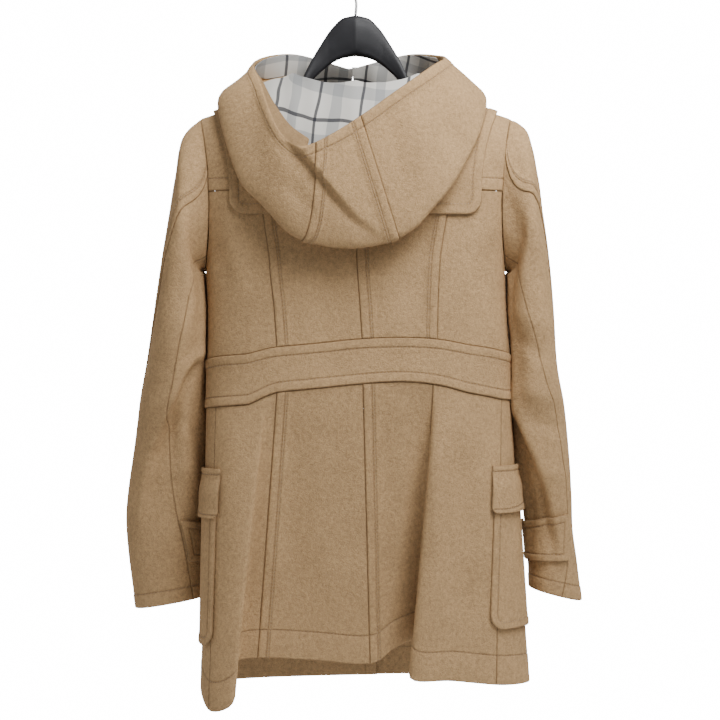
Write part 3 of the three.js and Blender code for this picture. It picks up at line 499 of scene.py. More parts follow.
def sleeve_face(sizes, hand):
    """A sleeve's outer face: angle round it and row down it, row -1 being the armhole."""
    last = len(sizes["outer_x"]) - 1

    def ring(index, angle):
        row = np.clip(index, 0, last)
        outer_x, outer_z, inner_x, inner_z, middle_y, half_depth = (
            sizes[name][row] for name in SLEEVE_COLUMNS.split()[:6]
        )
        c, s = squared(angle, SLEEVE_SQUARENESS)
        round_arm = points(
            (outer_x + inner_x) / 2 + (outer_x - inner_x) / 2 * c,
            middle_y + half_depth * s,
            (outer_z + inner_z) / 2 + (outer_z - inner_z) / 2 * c,
        )
        return np.where((index < 0)[..., None], armhole(angle), round_arm)

    def face(angle, row):
        angle, row = np.broadcast_arrays(angle, row)
        first = np.clip(np.floor(row).astype(int), -1, last - 1)
        near = [ring(np.maximum(first + step, -1), angle) for step in (-1, 0, 1, 2)]
        here = smooth(*near, (row - first)[..., None])
        return here * (hand, 1, 1)

    return face


def neck_edge(angle):
    x = NECK_HALF_WIDTH * np.cos(np.radians(angle))
    across = np.sin(np.radians(angle))
    low = np.where(across > 0, NECK_BACK_TURN, NECK_FRONT_TURN)
    return body(angle_at(x, CHEST + 0 * x, across > 0), low + (90 - low) * (1 - abs(across)))


def clear_of_body(here, distance):
    """Points pushed out until they are clear of the body by a distance."""
    x, y, z = here[..., 0], here[..., 1], here[..., 2]
    is_back = y > 0
    clear = distance + np.where(is_back, 0, lap_lift(x))
    across = np.clip(x, -CHEST_EDGE_X, CHEST_EDGE_X)
    depth = abs(body(angle_at(across, CHEST + 0 * x, is_back), 0 * x)[..., 1]) + clear
    height = shoulder_top(x) - CHEST + clear
    up = np.maximum(z - CHEST, 0)
    reach = np.hypot(y / depth, up / height)
    scale = (reach**PUSH_SHARPNESS + 1) ** (1 / PUSH_SHARPNESS) / reach
    return points(x, y * scale, np.where(up > 0, CHEST + up * scale, z))


def hood_face(row, turn):
    """The hood's outer face: turn -90 is the edge of its opening, 0 the roll and 90 the neck seam."""
    row, turn = np.broadcast_arrays(row, turn)
    at = {name: column(values, row) for name, values in HOOD.items()}
    roll = points(at["roll_x"], at["roll_y"], at["roll_z"])
    edge = points(at["edge_x"], at["edge_y"], at["edge_z"])
    opening = turn < 0
    goal = np.where(opening[..., None], edge, neck_edge(at["neck"]))
    share = abs(turn) / 90
    along = np.where(opening, 1 - np.cos(np.radians(turn)), share**HOOD_FALL_POWER)
    across = np.sin(np.radians(90 * np.minimum(np.where(opening, share, HOOD_DEPTH_PACE * share), 1)))
    reach = np.stack([along, across, along], -1)
    clear = np.where(opening, HOOD_CLEAR, lerp(HOOD_CLEAR, HOOD_SEAT, turn / 90))
    return clear_of_body(lerp(roll, goal, reach), clear)


def overlap(line, over_spread, under_spread):
    """A fold whose upper side lies over its lower one, along a line seen from behind."""
    across, height, rise, sink = line.values()

    def shape(grid, normal):
        best = np.full(grid.shape[:2], FAR_AWAY)
        out = np.zeros(grid.shape[:2])
        for k in range(len(across) - 1):
            start = np.array([across[k], height[k]])
            along = np.array([across[k + 1], height[k + 1]]) - start
            reach = np.hypot(*along)
            offset = grid[..., [0, 2]] - start
            run = offset @ along / reach
            beside = offset @ np.array([along[1], -along[0]]) / reach
            share = np.clip(run / reach, 0, 1)
            beyond = np.maximum(abs(run - reach / 2) - reach / 2, 0)
            away = np.hypot(beside, beyond)
            over = lerp(rise[k], rise[k + 1], share) * ramp(beside, -FOLD_TURN, FOLD_TURN)
            over *= np.exp(-np.maximum(beside, 0) / over_spread)
            under = lerp(sink[k], sink[k + 1], share) * ramp(-beside, -FOLD_TURN, UNDER_TURN)
            under *= np.exp(-((np.maximum(-beside, 0) / under_spread) ** 2))
            fade = np.exp(-((beyond / FOLD_END_FADE) ** 2))
            out = np.where(away < best, (over - under) * fade, out)
            best = np.minimum(best, away)
        return out * ramp(normal[..., 1], 0.05, 0.4)

    return shape


def tucked(hand, elbow):
    """Lets the inside of a sleeve lie against the body, and adds its elbow fold."""
    def shape(grid, normal):
        x, y, z = grid[..., 0] * hand, grid[..., 1], grid[..., 2]
        middle, half_width, depth, squareness = section(z, y > 0)
        across = np.clip(abs(y) / depth, 0, 1)
        edge = hand * middle + half_width * (1 - across**squareness) ** (1 / squareness)
        gap = np.clip(x - edge - SLEEVE_CLEAR, 0, SLEEVE_TUCK)
        inner = ramp(-normal[..., 0] * hand, 0, 0.7) * (1 - ramp(abs(y - TUCK_MIDDLE_Y), *TUCK_FADE_Y))
        window = ramp(z, *TUCK_START_Z) * (1 - ramp(z, *TUCK_END_Z))
        return elbow(grid, normal) + gap * inner * window

    return shape


class Edge:
    """How an edge is finished: stitch lines at distances from it, and a strip raised up to the last one."""

    def __init__(self, stitches=(), raised=0.0, backed=0.0):
        self.stitches = stitches
        self.raised = raised
        self.backed = backed


PLAIN = Edge()
FELLED = Edge((10.5, 13.4), 1.5)
FRONT_EDGE = Edge((15,), 0.8)

# Width of a cell of the cloth, for each kind of piece
SHELL_PITCH = 5.0
SLEEVE_PITCH = 3.6
HOOD_PITCH = 2.6
LINING_PITCH = 3.5
FINE_PITCH = 3

# Relief of the cloth: the raised strip's fade, a stitch's dip, the rounded rim, and how wide along rims and
# how strong in stitch grooves the painted shade is that darkens the colour there, partly pressed nap
STRIP_FADE = 4
BACKED_FROM_Y = 0
BACKED_FULL_Y = 70
DIP_WIDTH = 1.1
ROUNDING_REACH = 0.62
ROUNDING_DEPTH = 0.48
PRESSED_AND_SHADED_RIM = 1.8
PRESSED_AND_SHADED_STITCH = 0.8
FAR_AWAY = 1e6

# How stitch lines are found along a rim, and where one of them ends
RIM_STEP = 0.5
STITCH_SEARCH_STEP = 1.5
ON_LINE = 0.96
LINE_BREAK = 8
SHORTEST_LINE = 4

# A thread's flattened form: its height against its width, how high it sits and where its ends start to taper
THREAD_FLATNESS = 0.7
THREAD_RISE = 0.2
THREAD_TAPER_FROM = 0.6

# Over which share of its length a fold or crease rises from its ends
FOLD_RISE_SHARE = 0.3

# Places of grid lines near an edge and on both sides of a stitch
NEAR_EDGE = (0, 0.3, 0.8, 1.5, 2.4, 4.0)
NEAR_STITCH = (-2.4, -1.2, -0.5, 0, 0.5, 1.2, 2.4)


def stations(total, low, high, pitch):
    """Distances along a strip, close together at its two ends and at the stitches near them."""
    def near(edge):
        marks = set(NEAR_EDGE)
        for stitch in edge.stitches:
            marks |= {stitch + step for step in NEAR_STITCH}
        return sorted(mark for mark in marks if mark < total * 0.45)
    first = near(low)
    last = [total - mark for mark in reversed(near(high))]
    inner = max(int((last[0] - first[-1]) / pitch), 1)
    return np.array(first + list(np.linspace(first[-1], last[0], inner + 1)[1:-1]) + last)


def spread(marks, total, lengths):
    """Stations made for one length, fitted to other lengths by stretching what lies between the ends."""
    marks = marks[:, None]
    lengths = lengths[None, :]
    half = total / 2
    grown = np.where(marks < half, marks, lengths - (total - marks))
    middle = marks * lengths / total
    weight = np.clip(np.minimum(marks, total - marks) / (0.35 * total), 0, 1)
    return lerp(grown, middle, ramp(weight, 0.3, 1)) / lengths


def arc(grid, axis):
    """Distance along the rows or columns of a grid of points, from its first line."""
    steps = length(np.diff(grid, axis=axis))
    start = np.zeros_like(np.take(steps, [0], axis=axis))
    return np.concatenate([start, np.cumsum(steps, axis=axis)], axis=axis)


def normals(grid, side):
    found = side * np.cross(np.gradient(grid, axis=1), np.gradient(grid, axis=0))
    return found / np.maximum(length(found), 1e-9)[..., None]


def face_and_normals(surface, a, b):
    """Points of a surface and its normals there, turned the way the grid's own normals point."""
    grid = surface(a, b)
    a_step = 1e-3 * np.ptp(a)
    b_step = 1e-3 * np.ptp(b)
    across = surface(a + a_step, b) - surface(a - a_step, b)
    up = surface(a, b + b_step) - surface(a, b - b_step)
    found = np.cross(across, up)
    found /= np.maximum(length(found), 1e-12)[..., None]
    turned = np.sign(np.median((found * normals(grid, 1)).sum(-1)))
    return grid, found * turned


def settled(grid, side, sound):
    """Normals of a grid, or the sound ones given where its lines run together."""
    across = np.gradient(grid, axis=1)
    up = np.gradient(grid, axis=0)
    found = side * np.cross(across, up)
    size = length(found)
    weight = ramp(size / np.maximum(length(across) * length(up), 1e-12), 0.25, 0.6)[..., None]
    mixed = lerp(sound, found / np.maximum(size, 1e-9)[..., None], weight)
    return mixed / np.maximum(length(mixed), 1e-9)[..., None]


def laid_out(surface, place, edges, pitch):
    """A grid on a surface with its lines at the edges' stations, in millimetres."""
    count = 70
    share = np.linspace(0, 1, count)
    s, r = np.meshgrid(share, share)
    dense = surface(*place(s, r))
    across = arc(dense, 1)
    widths = across[:, -1]
    width = float(np.median(widths))
    columns = stations(width, edges["left"], edges["right"], pitch)
    wanted = spread(columns, width, widths).T
    s_lines = np.array([np.interp(wanted[k], across[k] / widths[k], share) for k in range(count)])
    column_r = np.repeat(share[:, None], len(columns), 1)
    up = arc(surface(*place(s_lines, column_r)), 0)
    heights = up[-1]
    height = float(np.median(heights))
    rows = stations(height, edges["bottom"], edges["top"], pitch)
    wanted = spread(rows, height, heights)
    grid_r = np.stack([np.interp(wanted[:, k], up[:, k] / heights[k], share) for k in range(len(columns))], 1)
    grid_s = np.stack([np.interp(grid_r[:, k], share, s_lines[:, k]) for k in range(len(columns))], 1)
    return face_and_normals(surface, *place(grid_s, grid_r))


def shell_faces(rows, columns, side):
    """Quads of a closed wall made of two grids of points, the outer one first."""
    layer = rows * columns
    index = np.arange(layer).reshape(rows, columns)
    outer = np.stack([index[:-1, :-1], index[:-1, 1:], index[1:, 1:], index[1:, :-1]], -1).reshape(-1, 4)
    inner = outer[:, ::-1] + layer
    rim = np.concatenate([index[0, :], index[1:, -1], index[-1, -2::-1], index[-2:0:-1, 0]])
    after = np.roll(rim, -1)
    band = np.stack([rim, rim + layer, after + layer, after], -1)
    faces = np.concatenate([outer, inner, band])
    return faces[:, ::-1] if side < 0 else faces


def add_mesh(name, vertices, faces, finish, uv=None):
    """A smooth mesh object from points in millimetres."""
    mesh = bpy.data.meshes.new(name)
    mesh.from_pydata((np.asarray(vertices) * MM).tolist(), [], [list(map(int, face)) for face in faces])
    if uv is not None:
        layer = mesh.uv_layers.new(name="cloth")
        corners = np.empty(len(mesh.loops), int)
        mesh.loops.foreach_get("vertex_index", corners)
        layer.data.foreach_set("uv", uv[corners].ravel())
    mesh.shade_smooth()
    mesh.materials.append(finish)
    piece = bpy.data.objects.new(name, mesh)
    bpy.context.collection.objects.link(piece)
    return piece


def edge_fields(grid):
    across = arc(grid, 1)
    up = arc(grid, 0)
    return {"left": across, "right": across[:, -1:] - across, "bottom": up, "top": up[-1:] - up}


def rims(grid, edges):
    """The rim of a piece in runs that are finished alike: edge, sides, points and the points next to them."""
    sides = {
        "bottom": (grid[0], grid[1]),
        "right": (grid[:, -1], grid[:, -2]),
        "top": (grid[-1, ::-1], grid[-2, ::-1]),
        "left": (grid[::-1, 0], grid[::-1, 1]),
    }
    runs = []
    for name, lines in sides.items():
        if runs and runs[-1][0] is edges[name]:
            edge, names, before = runs.pop()
            runs.append((edge, [*names, name], np.concatenate([before, lines], 1)))
        else:
            runs.append((edges[name], [name], np.array(lines)))
    if len(runs) > 1 and runs[0][0] is runs[-1][0]:
        edge, names, last = runs.pop()
        _, first_names, first = runs[0]
        runs[0] = (edge, names + first_names, np.concatenate([last, first], 1))
    return runs


def sampled(marks, run, values):
    """What belongs to a line's points, at some distances along it."""
    return np.stack([np.interp(marks, run, values[:, axis]) for axis in range(3)], -1)


def evened(lines, step):
    """Points at even steps along the first of some lines, and those that belong to them on the others."""
    run = arc(lines[0], 0)
    marks = np.linspace(0, run[-1], max(int(run[-1] / step), 2))
    return [sampled(marks, run, line) for line in lines]


def distance_to(line, grid):
    """The distance of each point of a grid to the nearest point of a line."""
    flat = grid.reshape(-1, 3)
    tree = KDTree(len(line))
    for index, point in enumerate(line):
        tree.insert(point, index)
    tree.balance()
    return np.array([tree.find(point)[2] for point in flat]).reshape(grid.shape[:2])


def grid_line(outer, fields, name, stitch, side):
    """The line of a grid that lies at a distance from one of its sides, with its normals."""
    normal = normals(outer, side)
    axis = 0 if name in ("left", "right") else 1
    index = int(np.argmin(abs(np.median(fields[name], axis=axis) - stitch)))
    if axis:
        yield outer[index], normal[index]
    else:
        yield outer[:, index], normal[:, index]


def stitch_lines(outer, runs, fields, side):
    """Lines of stitching: points on a piece's face at a distance from its rim, with their normals."""
    index = np.arange(outer.shape[0] * outer.shape[1]).reshape(outer.shape[:2])
    quads = np.stack([index[:-1, :-1], index[:-1, 1:], index[1:, 1:], index[1:, :-1]], -1).reshape(-1, 4)
    tree = BVHTree.FromPolygons(outer.reshape(-1, 3).tolist(), quads.tolist())
    for edge, names, rim in runs:
        if len(names) == 1:
            for stitch in edge.stitches:
                yield from grid_line(outer, fields, names[0], stitch, side)
            continue
        line, within = evened(rim, STITCH_SEARCH_STEP)
        along = np.gradient(line, axis=0)
        away = within - line
        along /= length(along)[:, None]
        away -= along * (away * along).sum(-1, keepdims=True)
        away /= np.maximum(length(away), 1e-9)[:, None]
        for stitch in edge.stitches:
            found = []
            for start in line + away * stitch:
                place, up, _, _ = tree.find_nearest(start)
                if length(line - np.array(place)).min() > ON_LINE * stitch:
                    found.append((*place, *(side * up)))
            found = np.array(found).reshape(-1, 6)
            breaks = np.flatnonzero(length(np.diff(found[:, :3], axis=0)) > LINE_BREAK) + 1
            for part in np.split(found, breaks):
                if len(part) > SHORTEST_LINE:
                    yield part[:, :3], part[:, 3:]


# Folds and creases in the cloth: a line from one point to another seen from behind, how wide and how high
FOLDS = table("x z to_x to_z width height", [
    # Left sleeve: pulled down from the armhole, and creased at the elbow
    (196, -262, 236, -415, 12, 3.0), (186, -330, 226, -452, 9, -2.0), (188, -425, 236, -500, 9, 2.6),
    (184, -470, 214, -508, 7, -2.6), (206, -540, 262, -566, 12, 2.2), (204, -575, 250, -600, 9, -2.0),
    (214, -640, 272, -652, 14, 1.8), (226, -690, 272, -736, 12, -1.6),
    # Right sleeve
    (-178, -232, -226, -372, 12, 3.0), (-186, -300, -222, -420, 9, -2.2), (-190, -440, -246, -470, 12, 2.4),
    (-194, -470, -240, -508, 8, -2.6), (-204, -536, -250, -558, 11, 2.4), (-212, -572, -252, -592, 8, -2.2),
    (-224, -640, -262, -650, 12, 1.8), (-232, -700, -268, -742, 11, -1.6),
    # Back of the bodice, from the shoulders to the waistband
    (156, -300, 132, -455, 16, 2.0), (60, -345, 76, -470, 18, 1.6), (30, -330, 34, -470, 14, -1.2),
    (-46, -330, -40, -468, 18, 1.4), (-86, -330, -74, -465, 14, -1.4), (-150, -310, -128, -458, 16, 2.0),
    (176, -350, 150, -420, 10, -1.6), (-172, -350, -148, -425, 10, -1.6),
    # Skirt: soft flutes under the waistband
    (150, -560, 150, -770, 20, 2.5), (84, -545, 78, -800, 16, -1.8), (44, -560, 34, -840, 20, 2.0),
    (-30, -560, -42, -830, 18, -1.8), (-62, -560, -52, -790, 14, 2.4), (-96, -560, -104, -860, 9, 3.0),
    (-124, -580, -132, -850, 14, -2.0), (-158, -570, -172, -840, 16, 2.0),
    # Hood: soft ripples from its roll
    (112, -150, 88, -290, 15, 2.6), (84, -290, 44, -335, 9, -1.5), (-62, -190, -84, -300, 14, 2.2),
    (-90, -160, -128, -260, 12, -2.4), (-40, -200, -52, -290, 10, -1.6), (-118, -140, -146, -200, 14, 2.6),
    # Waistband
    (120, -510, 60, -500, 30, 0.8), (-40, -495, -110, -505, 30, 0.8),
])


def folded(grid, folds, facing):
    """How far the cloth stands out or in at each point because of its folds."""
    height = np.zeros(grid.shape[:2])
    place = grid[..., [0, 2]]
    for x, z, to_x, to_z, width, rise in zip(*folds.values()):
        along = np.array([to_x - x, to_z - z])
        reach = np.hypot(*along)
        along = along / reach
        offset = place - (x, z)
        run = offset @ along
        away = offset @ np.array([-along[1], along[0]])
        full = FOLD_RISE_SHARE * reach
        ends = ramp(run, -width, full) * ramp(reach - run, -width, full)
        height += rise * np.exp(-((away / width) ** 2)) * ends
    return height * facing


def stitching(name, lines, cloth, finish):
    """Short threads laid along lines on the cloth."""
    sides = 6
    turn = 2 * np.pi * np.arange(sides) / sides
    pitch = cloth.stitch_pitch / MM
    half = cloth.stitch_length / MM / 2
    radius = cloth.thread_width / MM / 2
    vertices, faces = [], []
    for line, normal in lines:
        run = arc(line, 0)
        if run[-1] < 2 * pitch:
            continue
        for place in np.arange(pitch / 2, run[-1] - pitch / 2, pitch):
            along = sampled(place + half, run, line) - sampled(place - half, run, line)
            along /= np.linalg.norm(along)
            up = sampled(place, run, normal)
            up /= np.linalg.norm(up)
            out = np.cross(along, up)
            ring = np.cos(turn)[:, None] * out * radius
            ring += np.sin(turn)[:, None] * up * radius * THREAD_FLATNESS
            start = len(vertices)
            middle = sampled(place, run, line) + up * radius * THREAD_RISE
            for way in (-1, 1):
                vertices.extend(middle + way * along * half * THREAD_TAPER_FROM + ring)
            vertices += [middle + way * along * half - up * radius for way in (-1, 1)]
            for k in range(sides):
                after = (k + 1) % sides
                faces.append((start + k, start + after, start + sides + after, start + sides + k))
                faces.append((start + 2 * sides, start + after, start + k))
                faces.append((start + 2 * sides + 1, start + sides + k, start + sides + after))
    return add_mesh(name, vertices, faces, finish)


def cloth_piece(name, surface, place, edges=None, side=1, lift=0, pitch=SHELL_PITCH, thickness=None,
                slot="wool", held="hung", folds=None, shape=None, roll=None):
    """A closed cloth shell on its solid's form, with rounded edges, raised seams, folds and stitching."""
    cloth = bpy.context.scene.coat_cloth
    thick = cloth.thickness / MM if thickness is None else thickness
    edges = {"left": PLAIN, "right": PLAIN, "bottom": PLAIN, "top": PLAIN} | (edges or {})
    grid, normal = laid_out(surface, place, edges, pitch)
    normal = side * normal
    out = np.zeros(grid.shape[:2]) + (lift(grid) if callable(lift) else lift)
    if folds is not None:
        out = out + folded(grid, folds, np.clip(2 * normal[..., 1], 0, 1))
    if shape is not None:
        out = out + shape(grid, normal)
    grid = grid + normal * out[..., None]
    normal = settled(grid, side, normal)
    fields = edge_fields(grid)
    runs = rims(grid, edges)
    relief = np.zeros(grid.shape[:2])
    backing = np.zeros(grid.shape[:2])
    dips = np.zeros(grid.shape[:2])
    to_rim = np.full(grid.shape[:2], FAR_AWAY)
    for edge, names, rim in runs:
        away = fields[names[0]] if len(names) == 1 else distance_to(evened(rim, RIM_STEP)[0], grid)
        to_rim = np.minimum(to_rim, away)
        if edge.stitches:
            strip = 1 - ramp(away, edge.stitches[-1], edge.stitches[-1] + STRIP_FADE)
            relief = np.maximum(relief, edge.raised * strip)
            at_back = ramp(grid[..., 1], BACKED_FROM_Y, BACKED_FULL_Y)
            backing = np.maximum(backing, edge.backed * strip * at_back)
        for stitch in edge.stitches:
            dips = np.maximum(dips, np.exp(-(((away - stitch) / DIP_WIDTH) ** 2)))
    local = thick + relief + backing
    inside = np.clip(to_rim / (ROUNDING_REACH * local), 0, 1)
    rounding = ROUNDING_DEPTH * local * (1 - np.sqrt(1 - (1 - inside) ** 2))
    outer = grid + normal * (relief - rounding - cloth.stitch_dip / MM * dips)[..., None]
    inner = grid - normal * (thick + backing - rounding)[..., None]
    if roll is not None:
        inner = inner + roll(grid[:1]) * np.exp(-((fields["bottom"] / ROLL_DEPTH) ** 2))[..., None]
    # Painted shade, partly pressed nap: a mark that darkens the wool's colour in stitch grooves and along
    # every rim, where shade falls
    pressed_nap_and_shade = np.maximum(dips * PRESSED_AND_SHADED_STITCH, 1 - ramp(to_rim, 0, PRESSED_AND_SHADED_RIM)).ravel()
    count = grid.shape[0] * grid.shape[1]
    uv = np.stack([fields["left"], fields["bottom"]], -1).reshape(count, 2) * MM
    finish = finishes()[slot]
    faces = shell_faces(*grid.shape[:2], side)
    piece = add_mesh(name + "_cloth", np.concatenate([outer.reshape(-1, 3), inner.reshape(-1, 3)]), faces,
                     finish, np.concatenate([uv, uv]))
    # Stores the painted shade mark on the mesh for the wool's colour
    marks = piece.data.attributes.new("pressed_nap_and_shade", "FLOAT", "POINT")
    marks.data.foreach_set("value", np.concatenate([pressed_nap_and_shade, pressed_nap_and_shade]))
    carry(piece, slot, name)
    lines = list(stitch_lines(outer, runs, fields, side))
    if lines:
        threads = stitching(name + "_stitches", lines, cloth, finishes()["thread"])
        carry(threads, slot)
    if held is None:
        return piece
    width, height, area = cut_size(0.5 * (outer + inner))
    return piece


def cut_size(middle):
    """Width square to the length, length and area of the cloth that a piece was cut from, laid flat."""
    up = length(np.diff(middle, axis=0))
    one_way = middle[1:, 1:] - middle[:-1, :-1]
    other_way = middle[1:, :-1] - middle[:-1, 1:]
    cells = 0.5 * length(np.cross(one_way, other_way))
    across = cells / np.maximum(0.5 * (up[:, 1:] + up[:, :-1]), 1e-3)
    return float(across.sum(1).max()), float(up.sum(0).max()), float(cells.sum())


def carry(piece, slot, *nodes):
    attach(piece, "root")
    if nodes:
        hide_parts(*nodes)


class Value:
    """A number in a shader, which takes Python's operators."""

    def __init__(self, graph, socket):
        self.graph = graph
        self.socket = socket

    def maths(self, operation, *values):
        node = self.graph.node("ShaderNodeMath", dict(enumerate(values)), operation=operation)
        return Value(self.graph, node.outputs[0])

    def __add__(self, other):
        return self.maths("ADD", self, other)

    def __sub__(self, other):
        return self.maths("SUBTRACT", self, other)

    def __rsub__(self, other):
        return self.maths("SUBTRACT", other, self)

    def __mul__(self, other):
        return self.maths("MULTIPLY", self, other)

    def __truediv__(self, other):
        return self.maths("DIVIDE", self, other)

    def __lt__(self, other):
        return self.maths("LESS_THAN", self, other)

    __radd__ = __add__
    __rmul__ = __mul__


class Graph:
    """The nodes of a material or a world, cleared to be made anew."""

    def __init__(self, holder):
        holder.use_nodes = True
        self.nodes = holder.node_tree.nodes
        self.links = holder.node_tree.links
        self.nodes.clear()

    def put(self, target, value):
        source = value.socket if isinstance(value, Value) else value
        if isinstance(source, bpy.types.NodeSocket):
            self.links.new(source, target)
        else:
            target.default_value = source

    def node(self, kind, sockets=None, **settings):
        node = self.nodes.new(kind)
        for key, value in settings.items():
            setattr(node, key, value)
        for key, value in (sockets or {}).items():
            self.put(node.inputs[key], value)
        return node


class Finish(Graph):
    """A material with a principled shader that has some constant values."""

    def __init__(self, name, **constants):
        self.material = bpy.data.materials.new(name)
        super().__init__(self.material)
        sockets = {key.replace("_", " "): value for key, value in constants.items()}
        self.shader = self.node("ShaderNodeBsdfPrincipled", sockets)
        self.node("ShaderNodeOutputMaterial", {"Surface": self.shader.outputs[0]})
        self.place = self.node("ShaderNodeTexCoord").outputs["Object"]

    def noise(self, size, detail=3.0, roughness=0.6, stretch=(1, 1, 1)):
        """Noise whose patches have a size in millimetres."""
        place = self.node("ShaderNodeMapping", {"Vector": self.place, "Scale": stretch})
        sockets = {"Vector": place.outputs[0], "Scale": 1 / (size * MM)}
        sockets |= {"Detail": detail, "Roughness": roughness}
        return Value(self, self.node("ShaderNodeTexNoise", sockets).outputs["Fac"])

    def tones(self, factor, colour, dark, light):
        """A colour that runs between a darker and a lighter tone of itself."""
        return self.mix(factor, shade(colour, dark), shade(colour, light))

    def mix(self, factor, first, second):
        """Two colours mixed by a number."""
        return self.node("ShaderNodeMix", {0: factor, 6: first, 7: second}, data_type="RGBA").outputs[2]

    def finish(self, colour=None, roughness=None, height=None, depth=1.0):
        """Links what changes over the surface; the height is in millimetres."""
        if colour is not None:
            self.put(self.shader.inputs["Base Color"], colour)
        if roughness is not None:
            self.put(self.shader.inputs["Roughness"], roughness)
        if height is not None:
            bump = self.node("ShaderNodeBump", {"Height": height, "Distance": depth * MM, "Strength": 1.0})
            self.put(self.shader.inputs["Normal"], bump.outputs[0])
        return self.material


def shade(colour, amount):
    return (*(min(part * amount, 1) for part in colour[:3]), 1)


def wool_finish(cloth):
    wool = Finish("wool_melton", Roughness=0.95, Specular_IOR_Level=0.12, Sheen_Weight=0.22,
                  Sheen_Roughness=0.45)
    wool.put(wool.shader.inputs["Sheen Tint"], shade(cloth.wool_colour, 1.6))
    fibres = wool.noise(cloth.nap_size / MM, 3.0, 0.7)
    clumps = wool.noise(4 * cloth.nap_size / MM, 2.0)
    mottle = wool.noise(60, 2.0)
    tone = 0.5 * fibres + 0.35 * clumps + 0.15 * mottle
    colour = wool.tones((tone - 0.38) * 4.2, cloth.wool_colour, 0.76, 1.24)
    # Painted shade, partly pressed nap: the mark darkens the colour in stitch grooves and along rims
    marks = wool.node("ShaderNodeAttribute", attribute_name="pressed_nap_and_shade")
    pressed_nap_and_shade = Value(wool, marks.outputs["Fac"])
    colour = wool.mix(pressed_nap_and_shade * 0.62, colour, shade(cloth.wool_colour, 0.42))
    return wool.finish(colour, height=fibres * 0.7 + clumps, depth=0.9)


def thread_finish(cloth):
    thread = Finish("sewing_thread", Roughness=0.7, Sheen_Weight=0.2)
    twist = thread.noise(0.8, 2.0)
    colour = thread.tones(twist, cloth.wool_colour, 0.62, 0.95)
    return thread.finish(colour, height=twist, depth=0.1)


def lining_finish(lining):
    cotton = Finish("lining_check", Roughness=0.8, Specular_IOR_Level=0.2, Sheen_Weight=0.1)
    parts = cotton.node("ShaderNodeSeparateXYZ", {0: cotton.place})
    x, y, z = (Value(cotton, parts.outputs[k]) for k in (0, 1, 2))
    wander = cotton.noise(70, 1.0) * lining.wander
    u = x + wander + 0.12 * z
    v = z - wander + 0.55 * y - 0.1 * x

    weave = cotton.noise(0.5, 2.0)
    colour = cotton.mix(weave * 0.4, lining.ground, shade(lining.ground, 0.86))
    kinds = ((0.0, lining.broad_width, lining.broad, 0.5), (0.5, lining.fine_width, lining.fine, 0.85))
    for offset, width, tint, strength in kinds:
        for place in (u, v):
            across = (place + offset * lining.check_size) / lining.check_size
            mask = across.maths("FRACT", across) < width / lining.check_size
            colour = cotton.mix(mask * strength, colour, tint)
    return cotton.finish(colour, height=weave, depth=0.12)


def horn_finish(fittings):
    horn = Finish("toggle_horn", Specular_IOR_Level=0.5, Coat_Weight=0.25, Coat_Roughness=0.25)
    streaks = horn.noise(5, 5.0, 0.65, (0.16, 1, 1))
    colour = horn.tones((streaks - 0.35) * 3.0, fittings.horn_colour, 0.35, 1.6)
    return horn.finish(colour, 0.3 + streaks * 0.25, streaks, 0.25)


def leather_finish(fittings):
    leather = Finish("patch_leather", Specular_IOR_Level=0.4)
    grain = leather.noise(1.4, 4.0, 0.6)
    wear = leather.noise(14, 3.0)
    colour = leather.tones(0.5 * grain + 0.5 * wear, fittings.leather_colour, 0.6, 1.3)
    return leather.finish(colour, 0.5 + 0.25 * grain, grain, 0.3)


def cord_finish(fittings):
    cord = Finish("loop_cord", Roughness=0.85, Sheen_Weight=0.2)
    strands = cord.noise(1.0, 3.0)
    colour = cord.tones(strands, fittings.cord_colour, 0.6, 1.35)
    return cord.finish(colour, height=strands, depth=0.2)


def plastic_finish(fittings):
    plastic = Finish("hanger_plastic", Specular_IOR_Level=0.28)
    grain = plastic.noise(0.7, 3.0)
    scuffs = plastic.noise(18, 4.0, 0.7)
    colour = plastic.tones((scuffs - 0.5) * 2.0, fittings.plastic_colour, 1, 1.6)
    return plastic.finish(colour, 0.42 + 0.2 * scuffs, grain, 0.08)


def steel_finish(fittings):
    steel = Finish("hook_steel", Metallic=1.0, Specular_IOR_Level=0.5)
    drawn = steel.noise(0.6, 3.0, 0.6, (1, 1, 0.08))
    colour = steel.tones(drawn, fittings.steel_colour, 0.85, 1.1)
    return steel.finish(colour, 0.2 + 0.2 * drawn, drawn, 0.03)


_made = {}


def finishes():
    """The coat's materials by name, made once."""
    if not _made:
        scene = bpy.context.scene
        cloth, lining, fittings = scene.coat_cloth, scene.coat_lining, scene.coat_fittings
        _made.update({
            "wool": wool_finish(cloth),
            "thread": thread_finish(cloth),
            "hood_lining": lining_finish(lining),
            "toggle_horn": horn_finish(fittings),
            "patch_leather": leather_finish(fittings),
            "cord": cord_finish(fittings),
            "hanger_plastic": plastic_finish(fittings),
            "hook_steel": steel_finish(fittings),
        })
    return _made


def number_setting(name, description, default, unit="NONE"):
    return bpy.props.FloatProperty(name=name, description=description, default=default, unit=unit)


def size_setting(*words_and_default):
    return number_setting(*words_and_default, "LENGTH")


def colour_setting(name, description, default):
    return bpy.props.FloatVectorProperty(
        name=name, description=description, subtype="COLOR", size=4, default=(*default, 1))


class ClothSettings(bpy.types.PropertyGroup):
    """The wool cloth and its sewing."""

    thickness: size_setting("Thickness", "Thickness of the wool cloth", 0.0024)
    nap_size: size_setting("Nap size", "Size of the fibre tufts on the cloth", 0.0011)
    stitch_pitch: size_setting("Stitch pitch", "Distance from one stitch to the next", 0.0045)
    stitch_length: size_setting("Stitch length", "Length of the thread that shows in a stitch", 0.0034)
    thread_width: size_setting("Thread width", "Thickness of the sewing thread", 0.0008)
    stitch_dip: size_setting("Stitch dip", "How far stitching pulls the cloth in", 0.0011)
    wool_colour: colour_setting("Wool", "Colour of the wool cloth", (0.39, 0.25, 0.126))


